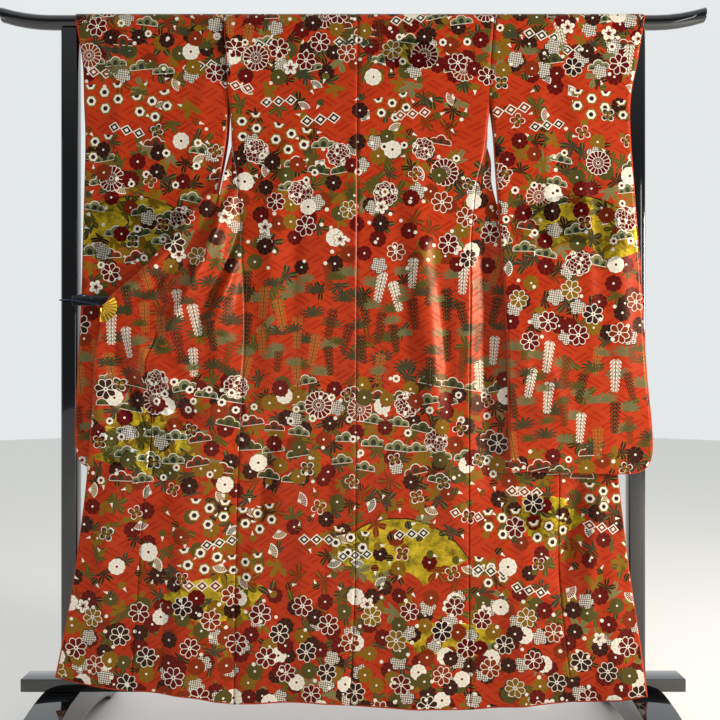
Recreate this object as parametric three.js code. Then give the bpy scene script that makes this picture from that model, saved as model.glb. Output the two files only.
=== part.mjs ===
// A furisode, the long-sleeved kimono, hung by its shoulders over a lacquered kimono stand with its back to
// the viewer. Its fronts are swung out to both sides, the left one over its sleeve to a clip on the post.
// Millimetres, +Z up, +X to the viewer's right, the viewer on the -Y side. The origin is on the floor, under
// the middle of the stand.
import * as THREE from "three";
import { mergeVertices } from "three/addons/utils/BufferGeometryUtils.js";

// ---- Cloth ----
const WALL = 2; // lined silk, as one wall
const COLLAR_WALL = 3; // the collar band is folded double
const SEAM = 0.3; // gap between two pieces that are sewn together
const COLLAR_GAP = 0.8; // from the collar to the fronts that carry it
const COLLAR_WIDTH = 55; // half of the 110 mm band
// The left front stands off towards the viewer, over its sleeve, past a turn beside the side seam.
const LEFT_LIFT = { by: 20, turn: 50 };
// The right front hangs at one depth behind its sleeve and flares towards the viewer at its lower corner,
// over the foot. Its turn is the distance past the side seam over which it reaches that depth.
const RIGHT_HANG = {
  rest: { y: -19.5, above: 580, turn: 60, turnAbove: 600 },
  flare: { y: -60, below: 100, turn: 340, turnBelow: 150 },
};
const SLEEVE_COVER = { x: 300, z: 560, fade: 60, share: 0.2 }; // lower ridges under the right sleeve
const FOLDS_TO = { z: 1420, fade: 60 }; // above this height the body hangs without folds

// ---- Stand ----
const RAIL_RADIUS = 17; // round top and round underside of the rail
const RAIL_FLAT = 1.5; // straight height between them
const RAIL_AXIS = 1694; // height of the centre of the rail's round top
const RAIL_HALF_LENGTH = 834;
const RAIL_RISE = 18; // how far each end sweeps up
const RAIL_RISE_FROM = 715;
const OVER_RAIL = RAIL_RADIUS + 0.4 + WALL / 2; // radius of the cloth's middle as it lies over the rail
const POST_INNER = 651;
const POST_WIDTH = 39.5;
const POST_DEPTH = 30;
const POST_CORNER = 5; // rounding of its upright edges
const PLANK = { length: 1560, depth: 54, bottom: 112, height: 30 };
const FOOT = { x: 683.5, width: 85, length: 480, crown: 111.7, toe: 16, bowSteps: 20 };
const FOOT_ARCH = { half: 195, height: 38, steps: 10 };
const JOINT_GAP = 0.3; // between two pieces of the stand

// ---- Clip on the left post ----
const CLIP = { x: -568, z: 1028, cloth: -44, flat: 64, fade: 60 }; // the cloth lies flat this far round it

// ---- Tables. Heights and widths in mm, a row for each section, from the hem up ----
// side: seam of back and front panels. seam: seam of front panel and overlap. edge: free edge of the overlap.
const LEFT_ROWS = [
  { sideX: -279, sideZ: 87, seamX: -512.5, seamZ: 125.5, edgeX: -688, edgeZ: 158 },
  { sideX: -278, sideZ: 152.5, seamX: -508, seamZ: 189, edgeX: -675.5, edgeZ: 218.5 },
  { sideX: -276.5, sideZ: 291.5, seamX: -498.5, seamZ: 322, edgeX: -652.5, edgeZ: 341.5 },
  { sideX: -274.5, sideZ: 430.5, seamX: -491, seamZ: 450, edgeX: -635.5, edgeZ: 459.5 },
  { sideX: -272, sideZ: 565.5, seamX: -482.5, seamZ: 568.5, edgeX: -621, edgeZ: 573 },
  { sideX: -267, sideZ: 690, seamX: -472, seamZ: 692, edgeX: -610.5, edgeZ: 696.5 },
  { sideX: -261, sideZ: 800, seamX: -469, seamZ: 795.5, edgeX: -601.5, edgeZ: 810.5 },
  { sideX: -257, sideZ: 900, seamX: -478, seamZ: 870, edgeX: -595, edgeZ: 904.5 },
  { sideX: -255.5, sideZ: 985, seamX: -454.5, seamZ: 949, edgeX: -584, edgeZ: 979 },
  { sideX: -257.5, sideZ: 1060.5, seamX: -421, seamZ: 1008.5, edgeX: -568.5, edgeZ: 1034.5 },
  { sideX: -260.5, sideZ: 1125.5, seamX: -386.5, seamZ: 1063, edgeX: -498.5, edgeZ: 1093 },
  { sideX: -264.5, sideZ: 1180.5, seamX: -353, seamZ: 1122.5, edgeX: -443, edgeZ: 1151.5 },
  { sideX: -267.5, sideZ: 1236, seamX: -327, seamZ: 1187, edgeX: -396.5, edgeZ: 1206 },
  { sideX: -270.5, sideZ: 1291, seamX: -313.5, seamZ: 1257, edgeX: -352, edgeZ: 1260 },
  { sideX: -273, sideZ: 1341.5, seamX: -301.5, seamZ: 1318.5, edgeX: -296, edgeZ: 1321 },
];
const RIGHT_ROWS = [
  { sideX: 275, sideZ: 74, seamX: 504.5, seamZ: 101, edgeX: 677.5, edgeZ: 115.5 },
  { sideX: 274, sideZ: 142.5, seamX: 501, seamZ: 162.5, edgeX: 670, edgeZ: 177.5 },
  { sideX: 272.5, sideZ: 291.5, seamX: 485.5, seamZ: 305.5, edgeX: 653.5, edgeZ: 324.5 },
  { sideX: 271.5, sideZ: 430.5, seamX: 485, seamZ: 440, edgeX: 640, edgeZ: 450 },
  { sideX: 272, sideZ: 565.5, seamX: 486, seamZ: 569, edgeX: 628.5, edgeZ: 574 },
  { sideX: 272, sideZ: 690, seamX: 485, seamZ: 689.5, edgeX: 615.5, edgeZ: 689.5 },
  { sideX: 273, sideZ: 800, seamX: 482, seamZ: 794.5, edgeX: 605.5, edgeZ: 799.5 },
  { sideX: 274, sideZ: 900, seamX: 476, seamZ: 885, edgeX: 596.5, edgeZ: 890 },
  { sideX: 275.5, sideZ: 985, seamX: 464, seamZ: 955.5, edgeX: 585.5, edgeZ: 965.5 },
  { sideX: 276.5, sideZ: 1060.5, seamX: 442, seamZ: 1015.5, edgeX: 565.5, edgeZ: 1031.5 },
  { sideX: 276.5, sideZ: 1125.5, seamX: 413.5, seamZ: 1071, edgeX: 510, edgeZ: 1098 },
  { sideX: 278.5, sideZ: 1180.5, seamX: 385.5, seamZ: 1131, edgeX: 457, edgeZ: 1157.5 },
  { sideX: 283.5, sideZ: 1243, seamX: 359.5, seamZ: 1191.5, edgeX: 409.5, edgeZ: 1210.5 },
  { sideX: 289.5, sideZ: 1301, seamX: 337.5, seamZ: 1256.5, edgeX: 367.5, edgeZ: 1263.5 },
  { sideX: 295.5, sideZ: 1351.5, seamX: 319, seamZ: 1326.5, edgeX: 316, edgeZ: 1329 },
];
// The front panels above the side seam: they turn round the side edge to hang behind the rail. side is the
// armhole edge, inner the edge that carries the collar.
const LEFT_UPPER = [
  { sideX: -280.5, sideY: -18.5, sideZ: 1392.5, innerX: -292, innerY: -8, innerZ: 1363 },
  { sideX: -282, sideY: -14, sideZ: 1422, innerX: -273, innerY: 8, innerZ: 1377 },
  { sideX: -284, sideY: -3, sideZ: 1452, innerX: -243, innerY: 15, innerZ: 1397 },
  { sideX: -288, sideY: 11, sideZ: 1493, innerX: -204, innerY: 18, innerZ: 1440 },
  { sideX: -291.5, sideY: 18, sideZ: 1534.5, innerX: -166, innerY: 18.6, innerZ: 1493 },
  { sideX: -295, sideY: 18.4, sideZ: 1575, innerX: -132, innerY: 18.8, innerZ: 1550 },
  { sideX: -298.5, sideY: 18.4, sideZ: 1616.5, innerX: -103, innerY: 18.6, innerZ: 1609 },
  { sideX: -302.4, sideY: 18.4, sideZ: 1664, innerX: -80, innerY: 18.4, innerZ: 1664 },
];
const RIGHT_UPPER = [
  { sideX: 303.5, sideY: -18.5, sideZ: 1392.5, innerX: 315, innerY: -8, innerZ: 1363 },
  { sideX: 305.5, sideY: -14, sideZ: 1422, innerX: 298, innerY: 8, innerZ: 1377 },
  { sideX: 308, sideY: -3, sideZ: 1452, innerX: 269, innerY: 15, innerZ: 1397 },
  { sideX: 313.5, sideY: 11, sideZ: 1493, innerX: 230, innerY: 18, innerZ: 1440 },
  { sideX: 319, sideY: 18, sideZ: 1534.5, innerX: 192, innerY: 18.6, innerZ: 1493 },
  { sideX: 322.5, sideY: 18.4, sideZ: 1575, innerX: 157, innerY: 18.8, innerZ: 1550 },
  { sideX: 326.5, sideY: 18.4, sideZ: 1616.5, innerX: 128, innerY: 18.6, innerZ: 1609 },
  { sideX: 330.4, sideY: 18.4, sideZ: 1664, innerX: 105, innerY: 18.4, innerZ: 1664 },
];
// The back panels' outer edges from the side seam to the rail, and the centre back seam.
const BACK_EDGE = [
  { z: 1392.5, left: -279.5, right: 302.5 },
  { z: 1442, left: -282, right: 305.5 },
  { z: 1492.5, left: -285, right: 312 },
  { z: 1534.5, left: -291.5, right: 319 },
  { z: 1575, left: -295, right: 322.5 },
  { z: 1616.5, left: -298.5, right: 326.5 },
  { z: 1664, left: -302.4, right: 330.4 },
  { z: 1694, left: -305, right: 332 },
];
const CENTRE_SEAM = [
  { z: 84, x: -7 },
  { z: 351, x: 5 },
  { z: 609, x: 6.5 },
  { z: 1171.5, x: 8 },
  { z: 1714, x: 11.5 },
];
// Depth of the hanging back: it falls from the front of the rail to just before the plank.
const BACK_DEPTH = [
  { z: 63.5, y: -34.5 },
  { z: 152.5, y: -33 },
  { z: 500.5, y: -29 },
  { z: 900, y: -26 },
  { z: 1200.5, y: -23.5 },
  { z: 1392.5, y: -22 },
  { z: 1534.5, y: -20 },
  { z: 1616.5, y: -18.8 },
  { z: 1664, y: -18.4 },
  { z: 1710, y: -18.4 },
];
// Sleeves, from the bottom up. body: the open edge next to the body, then the armhole. outer: the cuff side.
// rearX: the cuff side of the rear layer, which keeps clear of the post while it passes it.
const LEFT_SLEEVE = [
  { bodyX: -353, bodyZ: 633.5, outerX: -612, outerZ: 634.5, rearX: -612, front: -21.6, rear: -19.3 },
  { bodyX: -353, bodyZ: 640.5, outerX: -635.5, outerZ: 643.5, rearX: -635.5, front: -22.4, rear: -18.8 },
  { bodyX: -353, bodyZ: 654.5, outerX: -647.5, outerZ: 659.5, rearX: -647.5, front: -23, rear: -18.4 },
  { bodyX: -351.5, bodyZ: 684.5, outerX: -653.5, outerZ: 689.5, rearX: -653.5, front: -23.6, rear: -18 },
  { bodyX: -350.5, bodyZ: 740, outerX: -654, outerZ: 740, rearX: -654, front: -24, rear: -18 },
  { bodyX: -350.5, bodyZ: 810, outerX: -651, outerZ: 810, rearX: -651, front: -24, rear: -18 },
  { bodyX: -349.5, bodyZ: 885, outerX: -647, outerZ: 885, rearX: -647, front: -24, rear: -17.8 },
  { bodyX: -347.5, bodyZ: 965, outerX: -641.5, outerZ: 965, rearX: -641.5, front: -23.6, rear: -17 },
  { bodyX: -345, bodyZ: 1050.5, outerX: -638.5, outerZ: 1050.5, rearX: -638.5, front: -23, rear: -13 },
  { bodyX: -339, bodyZ: 1141, outerX: -637, outerZ: 1141, rearX: -637, front: -22, rear: -8 },
  { bodyX: -329, bodyZ: 1226, outerX: -636, outerZ: 1226, rearX: -636, front: -21.2, rear: -2 },
  { bodyX: -317, bodyZ: 1301.5, outerX: -635.5, outerZ: 1301.5, rearX: -635.5, front: -20.6, rear: 3 },
  { bodyX: -305, bodyZ: 1364, outerX: -635, outerZ: 1367, rearX: -635, front: -20.2, rear: 8 },
  { bodyX: -297, bodyZ: 1422, outerX: -634, outerZ: 1432.5, rearX: -634, front: -20, rear: 12 },
  { bodyX: -295, bodyZ: 1482.5, outerX: -633.5, outerZ: 1492.5, rearX: -633.5, front: -20, rear: 16 },
  { bodyX: -291.5, bodyZ: 1534.5, outerX: -633.5, outerZ: 1542.5, rearX: -633.5, front: -20, rear: 18 },
  { bodyX: -295, bodyZ: 1575, outerX: -635, outerZ: 1579, rearX: -635, front: -19.3, rear: 18.4 },
  { bodyX: -298.5, bodyZ: 1616.5, outerX: -640, outerZ: 1618.5, rearX: -640, front: -18.8, rear: 18.4 },
  { bodyX: -302.4, bodyZ: 1664, outerX: -649, outerZ: 1664, rearX: -649, front: -18.4, rear: 18.4 },
  { bodyX: -305, bodyZ: 1694, outerX: -655, outerZ: 1694, rearX: -655, front: -18.4, rear: 18.4 },
];
const RIGHT_SLEEVE = [
  { bodyX: 364.5, bodyZ: 631, outerX: 652.5, outerZ: 623, rearX: 652.5, front: -34.2, rear: -31.9 },
  { bodyX: 364.5, bodyZ: 638, outerX: 680, outerZ: 632, rearX: 680, front: -35, rear: -31.4 },
  { bodyX: 363.5, bodyZ: 652, outerX: 693.5, outerZ: 648, rearX: 693.5, front: -35.6, rear: -30.8 },
  { bodyX: 363, bodyZ: 681, outerX: 700.5, outerZ: 677, rearX: 700.5, front: -36.2, rear: -30 },
  { bodyX: 362, bodyZ: 740.5, outerX: 697.5, outerZ: 740.5, rearX: 697.5, front: -36.5, rear: -29.5 },
  { bodyX: 361, bodyZ: 820, outerX: 688.5, outerZ: 820, rearX: 688.5, front: -36.5, rear: -29 },
  { bodyX: 359, bodyZ: 890, outerX: 683.5, outerZ: 890, rearX: 683.5, front: -36, rear: -28.8 },
  { bodyX: 356.5, bodyZ: 964.5, outerX: 679.5, outerZ: 964.5, rearX: 679.5, front: -35.6, rear: -28.6 },
  { bodyX: 353.5, bodyZ: 1049, outerX: 675, outerZ: 1049, rearX: 675, front: -35, rear: -28.4 },
  { bodyX: 345.5, bodyZ: 1139, outerX: 670, outerZ: 1139, rearX: 670, front: -34.5, rear: -28.2 },
  { bodyX: 340.5, bodyZ: 1223.5, outerX: 661.5, outerZ: 1223.5, rearX: 661.5, front: -34, rear: -28 },
  { bodyX: 334, bodyZ: 1298.5, outerX: 657, outerZ: 1298.5, rearX: 657, front: -33, rear: -27.6 },
  { bodyX: 330, bodyZ: 1360.5, outerX: 652, outerZ: 1363.5, rearX: 646, front: -32, rear: -26.5 },
  { bodyX: 329, bodyZ: 1419.5, outerX: 650.5, outerZ: 1419.5, rearX: 642.5, front: -28, rear: -17 },
  { bodyX: 325.5, bodyZ: 1481.5, outerX: 649.5, outerZ: 1479.5, rearX: 644, front: -23, rear: 6 },
  { bodyX: 319, bodyZ: 1534.5, outerX: 655.5, outerZ: 1534.5, rearX: 647.5, front: -20, rear: 18 },
  { bodyX: 322.5, bodyZ: 1575, outerX: 667, outerZ: 1577, rearX: 663, front: -19.3, rear: 18.4 },
  { bodyX: 326.5, bodyZ: 1616.5, outerX: 673, outerZ: 1617.5, rearX: 673, front: -18.8, rear: 18.4 },
  { bodyX: 330.4, bodyZ: 1664, outerX: 681, outerZ: 1664, rearX: 681, front: -18.4, rear: 18.4 },
  { bodyX: 332, bodyZ: 1694, outerX: 686.5, outerZ: 1694, rearX: 686.5, front: -18.4, rear: 18.4 },
];
const CUFF_OPEN_ABOVE = 1500; // the two layers are apart at the cuff above this height
const CUFF_SEWN_BELOW = 1390; // and sewn together below this one
const SEWN_HALF = (WALL + SEAM) / 2; // half the distance between two layers sewn to each other

// Folds of the hanging cloth: a soft ridge from one point to another, depth towards the viewer, or away if
// it is negative. half is the distance at which it has nearly faded.
const BODY_FOLDS = [
  // the left front, gathered to the clip
  { fromX: -279, fromZ: 1285, toX: -325, toZ: 1169, depth: 7, half: 14 },
  { fromX: -325, fromZ: 1169, toX: -365, toZ: 1088, depth: 9, half: 15 },
  { fromX: -365, fromZ: 1088, toX: -432, toZ: 960, depth: 10, half: 17 },
  { fromX: -262, fromZ: 1220, toX: -302, toZ: 1083, depth: -5, half: 12 },
  { fromX: -302, fromZ: 1083, toX: -358, toZ: 953, depth: -8, half: 13 },
  { fromX: -267, fromZ: 1130, toX: -325, toZ: 965, depth: 7, half: 15 },
  { fromX: -520, fromZ: 1050, toX: -385, toZ: 1195, depth: 6, half: 24 },
  // the swag that hangs between the clip and the side seam, and what falls from the clip
  { fromX: -530, fromZ: 955, toX: -423, toZ: 844, depth: 9, half: 20 },
  { fromX: -423, fromZ: 844, toX: -330, toZ: 774, depth: 10, half: 22 },
  { fromX: -330, fromZ: 774, toX: -275, toZ: 850, depth: 7, half: 20 },
  { fromX: -405, fromZ: 905, toX: -345, toZ: 865, depth: -5, half: 16 },
  { fromX: -470, fromZ: 760, toX: -330, toZ: 700, depth: -4, half: 24 },
  { fromX: -540, fromZ: 930, toX: -512, toZ: 810, depth: -7, half: 17 },
  { fromX: -512, fromZ: 810, toX: -434, toZ: 600, depth: -8, half: 24 },
  { fromX: -586, fromZ: 930, toX: -578, toZ: 700, depth: 6, half: 20 },
  // the left front below the swag
  { fromX: -545, fromZ: 640, toX: -575, toZ: 160, depth: 6, half: 30 },
  { fromX: -395, fromZ: 540, toX: -405, toZ: 110, depth: 9, half: 36 },
  { fromX: -310, fromZ: 620, toX: -300, toZ: 350, depth: -4, half: 26 },
  // the back
  { fromX: -144, fromZ: 1400, toX: -191, toZ: 1146, depth: 5, half: 24 },
  { fromX: -191, fromZ: 1146, toX: -186, toZ: 840, depth: 6, half: 22 },
  { fromX: -202, fromZ: 700, toX: -226, toZ: 510, depth: -7, half: 20 },
  { fromX: -236, fromZ: 440, toX: -215, toZ: 90, depth: 8, half: 34 },
  { fromX: -100, fromZ: 1020, toX: -90, toZ: 640, depth: 5, half: 36 },
  { fromX: -75, fromZ: 330, toX: -70, toZ: 85, depth: 6, half: 34 },
  { fromX: 45, fromZ: 900, toX: 40, toZ: 380, depth: -4, half: 18 },
  { fromX: 127, fromZ: 1400, toX: 158, toZ: 1146, depth: 6, half: 20 },
  { fromX: 158, fromZ: 1146, toX: 192, toZ: 774, depth: 9, half: 20 },
  { fromX: 192, fromZ: 774, toX: 239, toZ: 530, depth: 9, half: 20 },
  { fromX: 215, fromZ: 1080, toX: 228, toZ: 700, depth: -5, half: 18 },
  { fromX: 150, fromZ: 380, toX: 140, toZ: 80, depth: 8, half: 36 },
  { fromX: 262, fromZ: 1120, toX: 262, toZ: 640, depth: 7, half: 16 },
  // the right front: a deep hollow beside the sleeve, and folds below it
  { fromX: 318, fromZ: 1130, toX: 322, toZ: 640, depth: -14, half: 30 },
  { fromX: 529, fromZ: 600, toX: 483, toZ: 380, depth: -9, half: 26 },
  { fromX: 390, fromZ: 440, toX: 395, toZ: 90, depth: 9, half: 32 },
  { fromX: 590, fromZ: 520, toX: 612, toZ: 110, depth: 7, half: 26 },
];
const SLEEVE_FOLDS = [
  { fromX: -400, fromZ: 1480, toX: -385, toZ: 1180, depth: 2.5, half: 30 },
  { fromX: -560, fromZ: 1560, toX: -575, toZ: 1150, depth: 3, half: 34 },
  { fromX: -490, fromZ: 1250, toX: -480, toZ: 760, depth: 1.5, half: 34 },
  { fromX: 400, fromZ: 1480, toX: 425, toZ: 1050, depth: 4, half: 28 },
  { fromX: 545, fromZ: 1560, toX: 540, toZ: 1040, depth: 4, half: 34 },
  { fromX: 378, fromZ: 940, toX: 436, toZ: 690, depth: 5, half: 17 },
  { fromX: 425, fromZ: 960, toX: 492, toZ: 700, depth: 5, half: 18 },
  { fromX: 560, fromZ: 860, toX: 600, toZ: 700, depth: 3.5, half: 30 },
  { fromX: 620, fromZ: 1250, toX: 645, toZ: 800, depth: 6, half: 30 },
];
// How the hem bows down between its seams, in mm.
const HEM_BOW = { backLeft: -6, backRight: 3, frontLeft: -9, frontRight: 1, overlapLeft: 4, overlapRight: 2 };

// ---- Curves ----
const clamp01 = (t) => Math.min(1, Math.max(0, t));
const soft = (t) => clamp01(t) ** 2 * (3 - 2 * clamp01(t));
const mix = (a, b, t) => a + (b - a) * t;

// The value of column at height z, straight between the rows of a table that runs upwards.
function atHeight(table, column, z, height = "z") {
  const last = table.length - 1;
  if (z <= table[0][height]) return table[0][column];
  if (z >= table[last][height]) return table[last][column];
  const k = table.findIndex((row) => row[height] >= z);
  const t = (z - table[k - 1][height]) / (table[k][height] - table[k - 1][height]);
  return mix(table[k - 1][column], table[k][column], t);
}

const ranked = (table) => table.map((row, rank) => ({ ...row, rank }));

// The rows of a table with one more between each two from a given rank up, on a smooth curve through them.
function doubled(table, from = 0) {
  const rows = [];
  table.forEach((row, k) => {
    rows.push({ ...row });
    if (k === table.length - 1 || row.rank < from) return;
    const before = table[Math.max(0, k - 1)];
    const next = table[k + 1];
    const after = table[Math.min(table.length - 1, k + 2)];
    const middle = {};
    for (const c of Object.keys(row)) middle[c] = (9 * (row[c] + next[c]) - before[c] - after[c]) / 16;
    rows.push(middle);
  });
  return rows;
}

const FLAP_FROM = 4; // rank of the row from which the left front is gathered to the clip
const leftRows = doubled(doubled(ranked(LEFT_ROWS)), FLAP_FROM);
const rightRows = doubled(ranked(RIGHT_ROWS));

// How far the folds bring the cloth towards the viewer at a place, with ridges at a share of their height.
function foldsAt(folds, x, z, ridgeShare = 1) {
  let sum = 0;
  for (const f of folds) {
    const dx = f.toX - f.fromX;
    const dz = f.toZ - f.fromZ;
    const t = clamp01(((x - f.fromX) * dx + (z - f.fromZ) * dz) / (dx * dx + dz * dz));
    const away = Math.hypot(x - f.fromX - dx * t, z - f.fromZ - dz * t);
    sum += f.depth * (f.depth > 0 ? ridgeShare : 1) * Math.exp(-((away / f.half) ** 2));
  }
  return sum;
}

// Depth of the spread body: back panels, fronts and overlaps hang as one sheet, which lies flat in the clip.
function bodyDepth(x, z) {
  const back = atHeight(BACK_DEPTH, "y", z);
  const pastLeft = atHeight(leftRows, "sideX", z, "sideZ") - x;
  const pastRight = x - atHeight(rightRows, "sideX", z, "sideZ");
  const { rest, flare } = RIGHT_HANG;
  const right = mix(flare.y, rest.y, soft((z - flare.below) / (rest.above - flare.below)));
  const turn = mix(flare.turn, rest.turn, soft((z - flare.turnBelow) / (rest.turnAbove - flare.turnBelow)));
  const covered = x > SLEEVE_COVER.x ? soft((z - SLEEVE_COVER.z) / SLEEVE_COVER.fade) : 0;
  const ridges = mix(1, SLEEVE_COVER.share, covered);
  let y = back - LEFT_LIFT.by * soft(pastLeft / LEFT_LIFT.turn);
  if (pastRight > 0) y += (right - back) * soft(pastRight / turn);
  y -= foldsAt(BODY_FOLDS, x, z, ridges) * soft((FOLDS_TO.z - z) / FOLDS_TO.fade);
  return mix(CLIP.cloth, y, soft((Math.hypot(x - CLIP.x, z - CLIP.z) - CLIP.flat) / CLIP.fade));
}

// ---- Solids ----
const colour = { silk: 0xc23a1c, lacquer: 0x0b0b0d, gold: 0xc9a227, cord: 0x1a2148 };
const finish = {
  silk: new THREE.MeshStandardMaterial({ color: colour.silk, roughness: 0.5, metalness: 0 }),
  lacquer: new THREE.MeshStandardMaterial({ color: colour.lacquer, roughness: 0.12, metalness: 0 }),
  gold: new THREE.MeshStandardMaterial({ color: colour.gold, roughness: 0.3, metalness: 1 }),
  cord: new THREE.MeshStandardMaterial({ color: colour.cord, roughness: 0.8, metalness: 0 }),
};
const kimono = new THREE.Group();

function addPiece(name, geometry, material) {
  const mesh = new THREE.Mesh(geometry, material);
  mesh.name = name;
  kimono.add(mesh);
}

// One closed geometry from points and triangles, turned so that its faces point out.
function closedGeometry(points, triangles) {
  const volume = triangles.reduce((sum, [a, b, c]) => {
    return sum + points[a].dot(new THREE.Vector3().crossVectors(points[b], points[c]));
  }, 0);
  const facing = volume < 0 ? triangles.map(([a, b, c]) => [a, c, b]) : triangles;
  const geometry = new THREE.BufferGeometry().setFromPoints(points);
  geometry.setIndex(facing.flat());
  return geometry;
}

// A wall of cloth through a grid of points: sections[k] = { points, out }, where out is the direction in
// which the section's outer face lies.
function clothWall(sections, thickness) {
  const across = sections[0].points.length;
  const points = [];
  for (const side of [0.5, -0.5]) {
    for (const section of sections) {
      for (const p of section.points) points.push(p.clone().addScaledVector(section.out, side * thickness));
    }
  }
  const inner = sections.length * across;
  const triangles = [];
  const quad = (a, b, c, d) => triangles.push([a, b, c], [a, c, d]);
  for (let k = 0; k + 1 < sections.length; k++) {
    for (let j = 0; j + 1 < across; j++) {
      const a = k * across + j;
      quad(a, a + 1, a + across + 1, a + across);
      quad(inner + a, inner + a + across, inner + a + across + 1, inner + a + 1);
    }
    const first = k * across;
    const last = first + across - 1;
    quad(first, first + across, inner + first + across, inner + first);
    quad(last, inner + last, inner + last + across, last + across);
  }
  const top = (sections.length - 1) * across;
  for (let j = 0; j + 1 < across; j++) {
    quad(j, inner + j, inner + j + 1, j + 1);
    quad(top + j, top + j + 1, inner + top + j + 1, inner + top + j);
  }
  return closedGeometry(points, triangles);
}

// A section from one edge to the other: points at equal steps, less half a seam's gap at each end.
function section(from, to, steps, out, shape = (p) => p) {
  const along = to.clone().sub(from);
  const inset = along.clone().setLength(SEAM / 2);
  const start = from.clone().add(inset);
  const end = to.clone().sub(inset);
  const points = [];
  for (let j = 0; j <= steps; j++) points.push(shape(start.clone().lerp(end, j / steps), j / steps));
  return { points, out };
}

const TOWARDS_VIEWER = new THREE.Vector3(0, -1, 0);
const AWAY = new THREE.Vector3(0, 1, 0);
const ARC_STEPS = 6; // sections over the rail

// Sections over the top of the rail, from the viewer's side to the far side.
function overRail(fromX, toX, steps) {
  const sections = [];
  for (let k = 0; k <= ARC_STEPS; k++) {
    const angle = Math.PI * (1 - k / ARC_STEPS);
    const out = new THREE.Vector3(0, Math.cos(angle), Math.sin(angle));
    const place = (x) => new THREE.Vector3(x, OVER_RAIL * out.y, RAIL_AXIS + OVER_RAIL * out.z);
    sections.push(section(place(fromX), place(toX), steps, out));
  }
  return sections;
}

const onBody = (x, z) => new THREE.Vector3(x, bodyDepth(x, z), z);
const settle = (p) => p.setY(bodyDepth(p.x, p.z));

const BOW_TO = 2; // rank of the row at which the hem's bow has faded

// Bows the hem between two seams: the whole drop at the first section, less further up.
function bowed(drop, rank) {
  return (p, s) => settle(p.setZ(p.z - drop * 4 * s * (1 - s) * clamp01(1 - rank / BOW_TO)));
}

// ---- Back panels: from the hem up to the rail, over it, and down to the shoulder line behind ----
const BACK_STEPS = 9;
function backPanel(name, rows, edgeColumn, bow) {
  const sections = rows.map((row, k) => {
    const centreZ = k === 0 ? CENTRE_SEAM[0].z : leftRows[k].sideZ;
    const centre = onBody(atHeight(CENTRE_SEAM, "x", centreZ), centreZ);
    return section(centre, onBody(row.sideX, row.sideZ), BACK_STEPS, TOWARDS_VIEWER, bowed(bow, row.rank));
  });
  for (const row of BACK_EDGE.slice(0, -1)) {
    const centre = onBody(atHeight(CENTRE_SEAM, "x", row.z), row.z);
    sections.push(section(centre, onBody(row[edgeColumn], row.z), BACK_STEPS, TOWARDS_VIEWER, settle));
  }
  const top = BACK_EDGE.at(-1);
  const shoulder = BACK_EDGE.at(-2);
  const centreTop = atHeight(CENTRE_SEAM, "x", top.z);
  sections.push(...overRail(centreTop, top[edgeColumn], BACK_STEPS));
  const behind = (x) => new THREE.Vector3(x, OVER_RAIL, shoulder.z + SEAM / 2);
  sections.push(section(behind(centreTop), behind(shoulder[edgeColumn]), BACK_STEPS, AWAY));
  addPiece(name, clothWall(sections, WALL), finish.silk);
}

// ---- Front panels: spread out below the armhole, turned round the side edge above it ----
const FRONT_STEPS = 12;
function frontPanel(name, rows, upper, bow) {
  const sections = rows.map((row) => {
    const side = onBody(row.sideX, row.sideZ);
    const seam = onBody(row.seamX, row.seamZ);
    return section(side, seam, FRONT_STEPS, TOWARDS_VIEWER, bowed(bow, row.rank));
  });
  for (const row of upper) {
    const top = row === upper.at(-1) ? SEAM / 2 : 0;
    const side = new THREE.Vector3(row.sideX, row.sideY, row.sideZ - top);
    const inner = new THREE.Vector3(row.innerX, row.innerY, row.innerZ - top);
    sections.push(section(side, inner, FRONT_STEPS, upperFacing(row)));
  }
  addPiece(name, clothWall(sections, WALL), finish.silk);
}

// The patterned side of the upper front panel: outwards at the turn, away from the viewer above it.
function upperFacing(row) {
  const left = row.sideX < 0 ? 1 : -1;
  const run = new THREE.Vector2(left * (row.innerX - row.sideX), row.innerY - row.sideY).normalize();
  return new THREE.Vector3(-left * run.y, run.x, 0);
}

// ---- Overlaps: the narrow outer panels. Above the clip the seam edge tucks in behind the front panel ----
const OVERLAP_STEPS = 8;
const OVERLAP_TOP = 13.5; // rank at which it ends, under the front panel
const TUCK = { fromRank: 7, depth: 7, depthRanks: 2, under: 12, underFromRank: 8, start: 0.3, end: 0.8 };
function overlap(name, rows, bow) {
  const sections = rows.filter((row) => row.rank <= OVERLAP_TOP).map((row) => {
    const sunk = clamp01((row.rank - TUCK.fromRank) / TUCK.depthRanks) * TUCK.depth;
    const under = clamp01(row.rank - TUCK.underFromRank) * TUCK.under * Math.sign(row.sideX - row.seamX);
    const seam = onBody(row.seamX, row.seamZ);
    const edge = onBody(row.edgeX, row.edgeZ);
    const reach = row.edgeX - row.seamX;
    const made = section(seam, edge, OVERLAP_STEPS, TOWARDS_VIEWER, bowed(bow, row.rank));
    for (const p of made.points) {
      const near = clamp01((row.edgeX - p.x) / reach);
      p.x += under * near;
      p.y = bodyDepth(p.x, p.z) + sunk * soft((near - TUCK.start) / (TUCK.end - TUCK.start));
    }
    return made;
  });
  addPiece(name, clothWall(sections, WALL), finish.silk);
}

// ---- Sleeves: one width of cloth over the rail, its two layers sewn at the cuff side and the bottom ----
const SLEEVE_STEPS = 10;
const SLEEVE_FOLDS_SPAN = { bottom: 640, bottomFade: 60, top: 1640, topFade: 100 };
const ARMHOLE_FROM = 1531; // above this height the body edge is sewn on, and the folds fade towards it
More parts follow.
